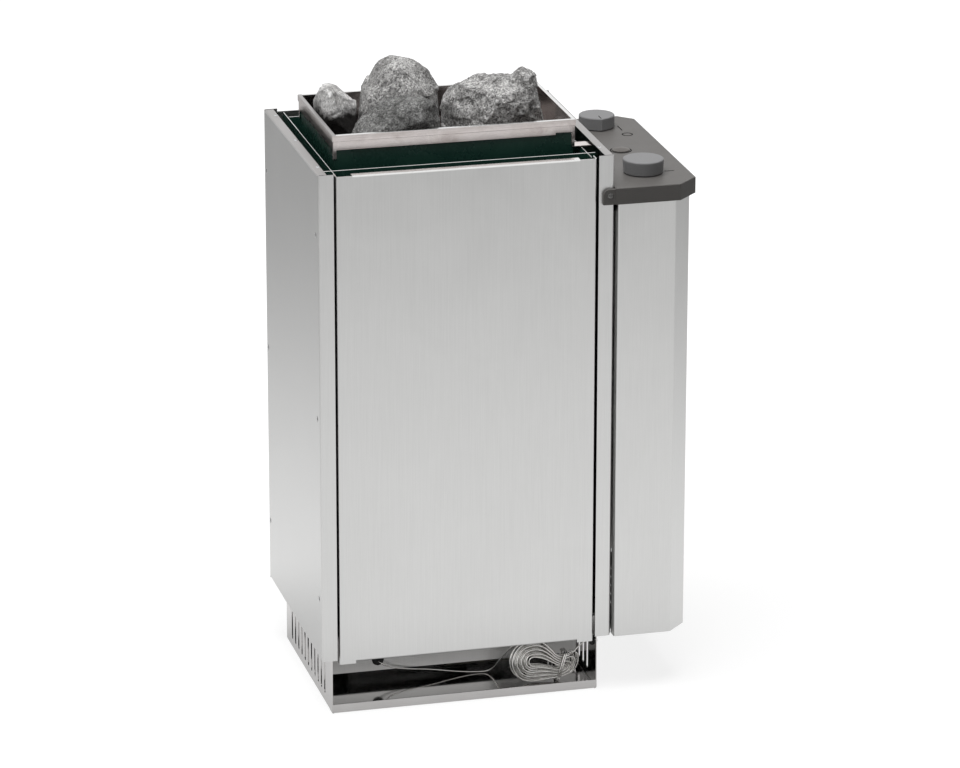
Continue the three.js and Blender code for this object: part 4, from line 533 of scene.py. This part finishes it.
SOFT_EDGES = {
    "left_side_panel": 0.45, "right_side_panel": 0.45, "front_panel": 0.35, "base_tray": 0.3, "stone_frame": 0.25,
    "left_inner_shield": 0.4, "right_inner_shield": 0.4, "front_inner_shield": 0.4, "rear_inner_shield": 0.4,
    "stone_chamber": 0, "deck_plate": 0, "rear_panel": 0.35, "control_mount_plate": 0.35, "terminal_guard": 0.2,
    "control_cover": 0.35, "control_cap": 0.4, "thermostat_knob": 0.5, "timer_knob": 0.5, "indicator_lens": 0,
    "mains_gland": 0.4, "terminal_block": 0.5, "capillary_bush": 0.3, "capillary_grommet": 0.3,
    "heating_element_1": 0, "heating_element_2": 0, "heating_element_3": 0,
    "thermostat_shaft": 0, "timer_shaft": 0, "safety_cutout": 0.4, "thermostat_switch": 0.3, "timer_switch": 0.5,
}
finished = {name: rounded(name, width) for name, width in SOFT_EDGES.items()}


def faced(piece, sheet, chosen):
    """Gives the chosen faces of a piece another finish."""
    piece.data.materials.append(sheet)
    for face in piece.data.polygons:
        if chosen(face):
            face.material_index = len(piece.data.materials) - 1


# The shields were cut after enamelling, so their upper edges are bare steel. Those edges and the tops of the rim
# and the front panel's hem get pale, clear steel as a painted highlight. The side panels' upper flanges get a
# greyer sheet as painted shade. The chamber is bare inside, and the deck is enamelled underneath.
for side in ("left", "right", "front", "rear"):
    faced(finished[side + "_inner_shield"], PAINTED_HIGHLIGHT, lambda face: face.normal.z > 0.3)
CHAMBER_MIDDLE = spot(152, 130.4, 0)
RIM_TOP, HEM_TOP, FLANGE_TOP = (spot(0, 0, z).z for z in (539, 511, 513.5))
for side in ("left", "right"):
    # Painted shade: the side panels' upper flanges get the greyer sheet
    faced(finished[side + "_side_panel"], PAINTED_SHADE_SHEET, lambda face: face.normal.z > 0.6 and face.center.z > FLANGE_TOP)
faced(finished["stone_chamber"], TINTED,
      lambda face: face.normal.z > 0.9 or face.normal.dot((CHAMBER_MIDDLE - face.center) * Vector((1, 1, 0))) > 0)
# Painted highlight on the rim's top, and painted shade on its left strip's top
faced(finished["stone_frame"], PAINTED_HIGHLIGHT, lambda face: face.normal.z > 0.3 and face.center.z > RIM_TOP)
faced(finished["stone_frame"], PAINTED_SHADE_SHEET,
      lambda face: face.normal.z > 0.3 and face.center.z > RIM_TOP and face.center.x < RIM_LEFT.x)
faced(finished["front_panel"], PAINTED_HIGHLIGHT, lambda face: face.normal.z > 0.3 and face.center.z > HEM_TOP)
faced(finished["deck_plate"], FINISH["dark_steel"], lambda face: face.normal.z < -0.9)


def stone_tree():
    """Geometry nodes that break a stone's faces into leaning splinters and chips, with pits between the grains.
    Nothing stands out further than the swell."""
    tree = bpy.data.node_groups.new("broken_stone", "GeometryNodeTree")
    tree.interface.new_socket("Stone", in_out="INPUT", socket_type="NodeSocketGeometry")
    named = {}
    for label, kind in (("Splinter lean", "NodeSocketFloat"), ("Chip lean", "NodeSocketFloat"),
                        ("Pit depth", "NodeSocketFloat"), ("Swell", "NodeSocketFloat"),
                        ("Finish", "NodeSocketMaterial")):
        named[label] = tree.interface.new_socket(label, in_out="INPUT", socket_type=kind).identifier
    tree.interface.new_socket("Stone", in_out="OUTPUT", socket_type="NodeSocketGeometry")
    given = add(tree, "NodeGroupInput").outputs
    here = add(tree, "GeometryNodeInputPosition").outputs[0]
    pits = add(tree, "ShaderNodeTexNoise", {"Scale": per(3), "Detail": 2.0, "Roughness": 0.6})
    height = add(tree, "ShaderNodeMath", {0: pits.outputs[0], 1: given["Pit depth"]}, operation="MULTIPLY")
    for label, size in (("Splinter lean", 23), ("Chip lean", 9)):
        cells = add(tree, "ShaderNodeTexVoronoi", {"Scale": per(size)}).outputs
        lean = add(tree, "ShaderNodeVectorMath", {0: cells["Color"], 1: (0.5, 0.5, 0.5)}, operation="SUBTRACT")
        reach = add(tree, "ShaderNodeVectorMath", {0: here, 1: cells["Position"]}, operation="SUBTRACT")
        tilt = add(tree, "ShaderNodeVectorMath", {0: lean.outputs[0], 1: reach.outputs[0]}, operation="DOT_PRODUCT")
        height = add(tree, "ShaderNodeMath", {
            0: tilt.outputs["Value"], 1: given[label], 2: height.outputs[0]}, operation="MULTIPLY_ADD")
    kept = add(tree, "ShaderNodeMath", {0: height.outputs[0], 1: given["Swell"]}, operation="MINIMUM")
    push = add(tree, "ShaderNodeVectorMath", {
        0: add(tree, "GeometryNodeInputNormal").outputs[0], "Scale": kept.outputs[0]}, operation="SCALE")
    rough = add(tree, "GeometryNodeSetPosition", {"Geometry": given["Stone"], "Offset": push.outputs[0]})
    whole = add(tree, "GeometryNodeRealizeInstances", {"Geometry": rough.outputs[0]})
    done = add(tree, "GeometryNodeSetMaterial", {"Geometry": whole.outputs[0], "Material": given["Finish"]})
    add(tree, "NodeGroupOutput", {0: done.outputs[0]})
    return tree, named


def worked(piece, tree, named, values):
    """Runs a geometry-nodes tree on a piece, with its inputs set by identifier, and keeps the mesh."""
    maker = piece.modifiers.new(tree.name, "NODES")
    maker.node_group = tree
    for label, value in values.items():
        maker[named[label]] = value
    settled(piece)
    smooth(piece, 60)


split, split_inputs = stone_tree()
for name in [n for n in NODES if SLOT_OF[n] == "stone"]:
    piece = merged_copy(name)
    fine = piece.modifiers.new("fine_mesh", "REMESH")
    fine.mode = "VOXEL"
    fine.voxel_size = 0.003 if "low" in name else 0.0013
    calm = {"stone_left": 0.5, "stone_rear": 0.45, "stone_front": 0.6}.get(name, 1.0)
    worked(piece, split, split_inputs, {
        "Splinter lean": 0.26 * calm, "Chip lean": 0.24 * calm, "Pit depth": -0.0009, "Swell": 0.0008,
        "Finish": GRANITE.get(name, FINISH["stone"]),
    })
    stands_for(piece, name)

# Screws and rivets

def fastener_tree():
    """Geometry nodes for a domed head with a cross recess on each seat, turned to face out of its sheet."""
    tree = bpy.data.node_groups.new("domed_fasteners", "GeometryNodeTree")
    tree.interface.new_socket("Seats", in_out="INPUT", socket_type="NodeSocketGeometry")
    named = {}
    for label, kind in (("Head radius", "NodeSocketFloat"), ("Head height", "NodeSocketFloat"),
                        ("Recess width", "NodeSocketFloat"), ("Recess length", "NodeSocketFloat"),
                        ("Finish", "NodeSocketMaterial")):
        named[label] = tree.interface.new_socket(label, in_out="INPUT", socket_type=kind).identifier
    tree.interface.new_socket("Heads", in_out="OUTPUT", socket_type="NodeSocketGeometry")
    given = add(tree, "NodeGroupInput").outputs
    ball = add(tree, "GeometryNodeMeshUVSphere", {"Segments": 24, "Rings": 14, "Radius": given["Head radius"]})
    at = add(tree, "ShaderNodeSeparateXYZ", {0: add(tree, "GeometryNodeInputPosition").outputs[0]}).outputs
    flat = add(tree, "ShaderNodeMath", {0: given["Head height"], 1: given["Head radius"]}, operation="DIVIDE")
    above = add(tree, "ShaderNodeMath", {0: at[2], 1: 0.0}, operation="MAXIMUM")
    low = add(tree, "ShaderNodeMath", {0: above.outputs[0], 1: flat.outputs[0]}, operation="MULTIPLY")
    shaped = add(tree, "ShaderNodeCombineXYZ", {0: at[0], 1: at[1], 2: low.outputs[0]})
    dome = add(tree, "GeometryNodeSetPosition", {"Geometry": ball.outputs[0], "Position": shaped.outputs[0]})
    top = add(tree, "ShaderNodeCombineXYZ", {2: given["Head height"]})
    head = dome
    for first, second in (("Recess length", "Recess width"), ("Recess width", "Recess length")):
        size = add(tree, "ShaderNodeCombineXYZ", {0: given[first], 1: given[second], 2: given["Head height"]})
        bar = add(tree, "GeometryNodeMeshCube", {"Size": size.outputs[0]})
        raised = add(tree, "GeometryNodeTransform", {"Geometry": bar.outputs[0], "Translation": top.outputs[0]})
        head = add(tree, "GeometryNodeMeshBoolean", {0: head.outputs[0], 1: raised.outputs[0]},
                   operation="DIFFERENCE", solver="EXACT")
    head = add(tree, "GeometryNodeMergeByDistance", {"Geometry": head.outputs[0], "Distance": 0.00001})
    facing = add(tree, "GeometryNodeInputNamedAttribute", {"Name": "facing"}, data_type="FLOAT_VECTOR")
    turn = add(tree, "FunctionNodeAlignRotationToVector", {"Vector": facing.outputs[0]}, axis="Z")
    spread = add(tree, "GeometryNodeInstanceOnPoints", {
        "Points": given["Seats"], "Instance": head.outputs[0], "Rotation": turn.outputs[0]})
    whole = add(tree, "GeometryNodeRealizeInstances", {"Geometry": spread.outputs[0]})
    done = add(tree, "GeometryNodeSetMaterial", {"Geometry": whole.outputs[0], "Material": given["Finish"]})
    add(tree, "NodeGroupOutput", {0: done.outputs[0]})
    return tree, named


heads, head_inputs = fastener_tree()


def fasteners(name, seats, radius, height, width, length, metal):
    """One mesh of fasteners. A seat is a point on a sheet and the way that it faces."""
    mesh = bpy.data.meshes.new(name)
    mesh.from_pydata([spot(*at) for at, _ in seats], [], [])
    facing = mesh.attributes.new("facing", "FLOAT_VECTOR", "POINT")
    for item, (_, way) in zip(facing.data, seats):
        item.vector = way
    piece = linked(bpy.data.objects.new(name, mesh))
    worked(piece, heads, head_inputs, {
        "Head radius": radius / 1000, "Head height": height / 1000, "Recess width": width / 1000,
        "Recess length": length / 1000, "Finish": metal,
    })
    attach(piece, "stove")


def sunk(seats):
    """The same seats on the floors of their recesses."""
    return [(Vector(at) - RECESS_DEPTH * Vector(way), way) for at, way in seats]


fasteners("casing_screws", [
    *sunk(LEFT_SCREWS),
    *(((304, 5, z), RIGHT) for z in (453, 261, 70)), *(((304, 245, z), RIGHT) for z in (451, 259, 66)),
], 2.6, HEAD_HEIGHT, 1.0, 3.6, ZINC_AND_SHADE)
fasteners("flange_rivets", [
    *(((7.2, y, 515), UP) for y in (31, 131, 226)), *(((296.8, y, 515), UP) for y in (31, 131, 226)),
    *sunk(REAR_RIVETS),
], 2.0, HEAD_HEIGHT, 0.7, 1.3, ZINC)
fasteners("cap_ear_screw", [((299, -4, 474), FRONT)], 3.0, 1.0, 1.0, 4.0, BLACK_ZINC_AND_SHADE)

# Marks on the cap and knobs

def printed(name, shapes, low, high, body):
    """Thin raised print: each shape is a list of flat outlines in mm, joined at shared corners."""
    form = bmesh.new()
    for outlines in shapes:
        corners = {}
        faces = []
        for outline in outlines:
            for at in outline:
                if at not in corners:
                    corners[at] = form.verts.new(spot(*at, low))
            faces.append(form.faces.new([corners[at] for at in outline]))
        raised = bmesh.ops.extrude_face_region(form, geom=faces)["geom"]
        moved = [v for v in raised if isinstance(v, bmesh.types.BMVert)]
        bmesh.ops.translate(form, verts=moved, vec=(0, 0, (high - low) / 1000))
    bmesh.ops.recalc_face_normals(form, faces=form.faces)
    mesh = bpy.data.meshes.new(name)
    form.to_mesh(mesh)
    form.free()
    mesh.materials.append(INK)
    piece = linked(bpy.data.objects.new(name, mesh))
    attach(piece, body)


def bar(x0, x1, y0, y1):
    return [[(x0, y0), (x1, y0), (x1, y1), (x0, y1)]]


def hoop(x, y, outer, inner, parts=40):
    angles = [2 * math.pi * i / parts for i in range(parts)]
    rings = [[(round(x + r * math.cos(a), 4), round(y + r * math.sin(a), 4)) for a in angles] for r in (outer, inner)]
    return [[rings[0][i], rings[0][(i + 1) % parts], rings[1][(i + 1) % parts], rings[1][i]] for i in range(parts)]


printed("cap_marks", [bar(369, 379, 42.4, 43.8), bar(368.3, 369.5, 199, 216), hoop(370, 183, 5.9, 4.5),
                      hoop(347, 127, 11.3, 10.0)], 481.4, 481.62, "stove")
printed("timer_pointer", [bar(346.5, 347.5, 201.5, 212)], 494.9, 495.1, "timer_knob")

# Studio

def white_world():
    """A white backdrop, as the camera and reflections see it, that gives only a little light of its own."""
    world = bpy.data.worlds.new("white_studio")
    bpy.context.scene.world = world
    world.use_nodes = True
    tree = world.node_tree
    tree.nodes.clear()
    path = add(tree, "ShaderNodeLightPath").outputs
    seen = add(tree, "ShaderNodeMath", {0: path["Is Camera Ray"], 1: path["Is Glossy Ray"]}, operation="MAXIMUM")
    clear = add(tree, "ShaderNodeMath", {0: seen.outputs[0], 1: path["Is Transmission Ray"]}, operation="MAXIMUM")
    level = add(tree, "ShaderNodeMapRange", {"Value": clear.outputs[0], "To Min": 0.1, "To Max": 1.0})
    sky = add(tree, "ShaderNodeBackground", {"Color": (1, 1, 1, 1), "Strength": level.outputs[0]})
    add(tree, "ShaderNodeOutputWorld", {"Surface": sky.outputs[0]})


TRAY_MIDDLE, TRAY_HALF = (-0.045, -0.009, 0), (0.1405, 0.1075, 1)


def pale_floor():
    """A pale floor that keeps the heater's shadow and looks white behind it. In reflections it is brightest in
    front of the heater, and darkens further off and in the shade beside the tray."""
    mesh = bpy.data.meshes.new("floor")
    reach = 40.0
    mesh.from_pydata([(-reach, -reach, 0), (reach, -reach, 0), (reach, reach, 0), (-reach, reach, 0)], [],
                     [(0, 1, 2, 3)])
    floor = linked(bpy.data.objects.new("floor", mesh))
    made, tree, shader, where = finish("pale_floor_paper", Base_Color=paint("8c8c8c"), Roughness=0.9,
                                       Specular_IOR_Level=0.0, Emission_Color=(1, 1, 1, 1))
    path = add(tree, "ShaderNodeLightPath").outputs
    away = add(tree, "ShaderNodeVectorMath", {0: where, 1: (0.1, -0.45, 0)}, operation="DISTANCE").outputs["Value"]
    lit = add(tree, "ShaderNodeMapRange", {
        "Value": away, "From Min": 0.6, "From Max": 2.5, "To Min": 0.98, "To Max": 0.34},
        interpolation_type="SMOOTHSTEP").outputs[0]
    from_tray = add(tree, "ShaderNodeVectorMath", {0: where, 1: TRAY_MIDDLE}, operation="SUBTRACT")
    in_trays = add(tree, "ShaderNodeVectorMath", {0: from_tray.outputs[0], 1: TRAY_HALF}, operation="DIVIDE")
    sides = add(tree, "ShaderNodeSeparateXYZ", {
        0: add(tree, "ShaderNodeVectorMath", {0: in_trays.outputs[0]}, operation="ABSOLUTE").outputs[0]}).outputs
    beside = add(tree, "ShaderNodeMath", {0: sides[0], 1: sides[1]}, operation="MAXIMUM").outputs[0]
    shade = add(tree, "ShaderNodeMapRange", {
        "Value": beside, "From Min": 1.0, "From Max": 3.0, "To Min": 0.48, "To Max": 1.0}).outputs[0]
    lit = add(tree, "ShaderNodeMath", {0: lit, 1: shade}, operation="MULTIPLY").outputs[0]
    mirrored = add(tree, "ShaderNodeMath", {0: path["Is Glossy Ray"], 1: path["Is Transmission Ray"]},
                   operation="MAXIMUM").outputs[0]
    reflected = add(tree, "ShaderNodeMath", {0: mirrored, 1: lit}, operation="MULTIPLY").outputs[0]
    white = add(tree, "ShaderNodeMapRange", {
        "Value": away, "From Min": 0.6, "From Max": 1.6, "To Min": 0.82, "To Max": 1.0}).outputs[0]
    glow = add(tree, "ShaderNodeMath", {0: path["Is Camera Ray"], 1: white, 2: reflected}, operation="MULTIPLY_ADD")
    tree.links.new(glow.outputs[0], shader.inputs["Emission Strength"])
    mesh.materials.append(made)


def softbox(name, at, aim, size, power, mirrored):
    """A square lamp. One that isn't mirrored lights the object but doesn't show in its reflections."""
    lamp = bpy.data.lights.new(name, "AREA")
    lamp.shape = "SQUARE"
    lamp.size = size
    lamp.energy = power
    piece = linked(bpy.data.objects.new(name, lamp))
    piece.location = at
    piece.rotation_mode = "QUATERNION"
    piece.rotation_quaternion = (Vector(at) - Vector(aim)).to_track_quat("Z", "Y")
    piece.visible_glossy = mirrored


white_world()
pale_floor()
softbox("overhead", (-0.4, -0.4, 3.2), (0, 0, 0.4), 2.4, 84, False)
softbox("overhead_glint", (-0.4, -0.4, 3.2), (0, 0, 0.4), 2.4, 22, True)
softbox("front_left", (-2.4, -3.0, 2.0), (0, 0, 0.35), 2.0, 9, True)

bpy.context.scene.view_settings.view_transform = "Standard"

bpy.context.view_layer.update()
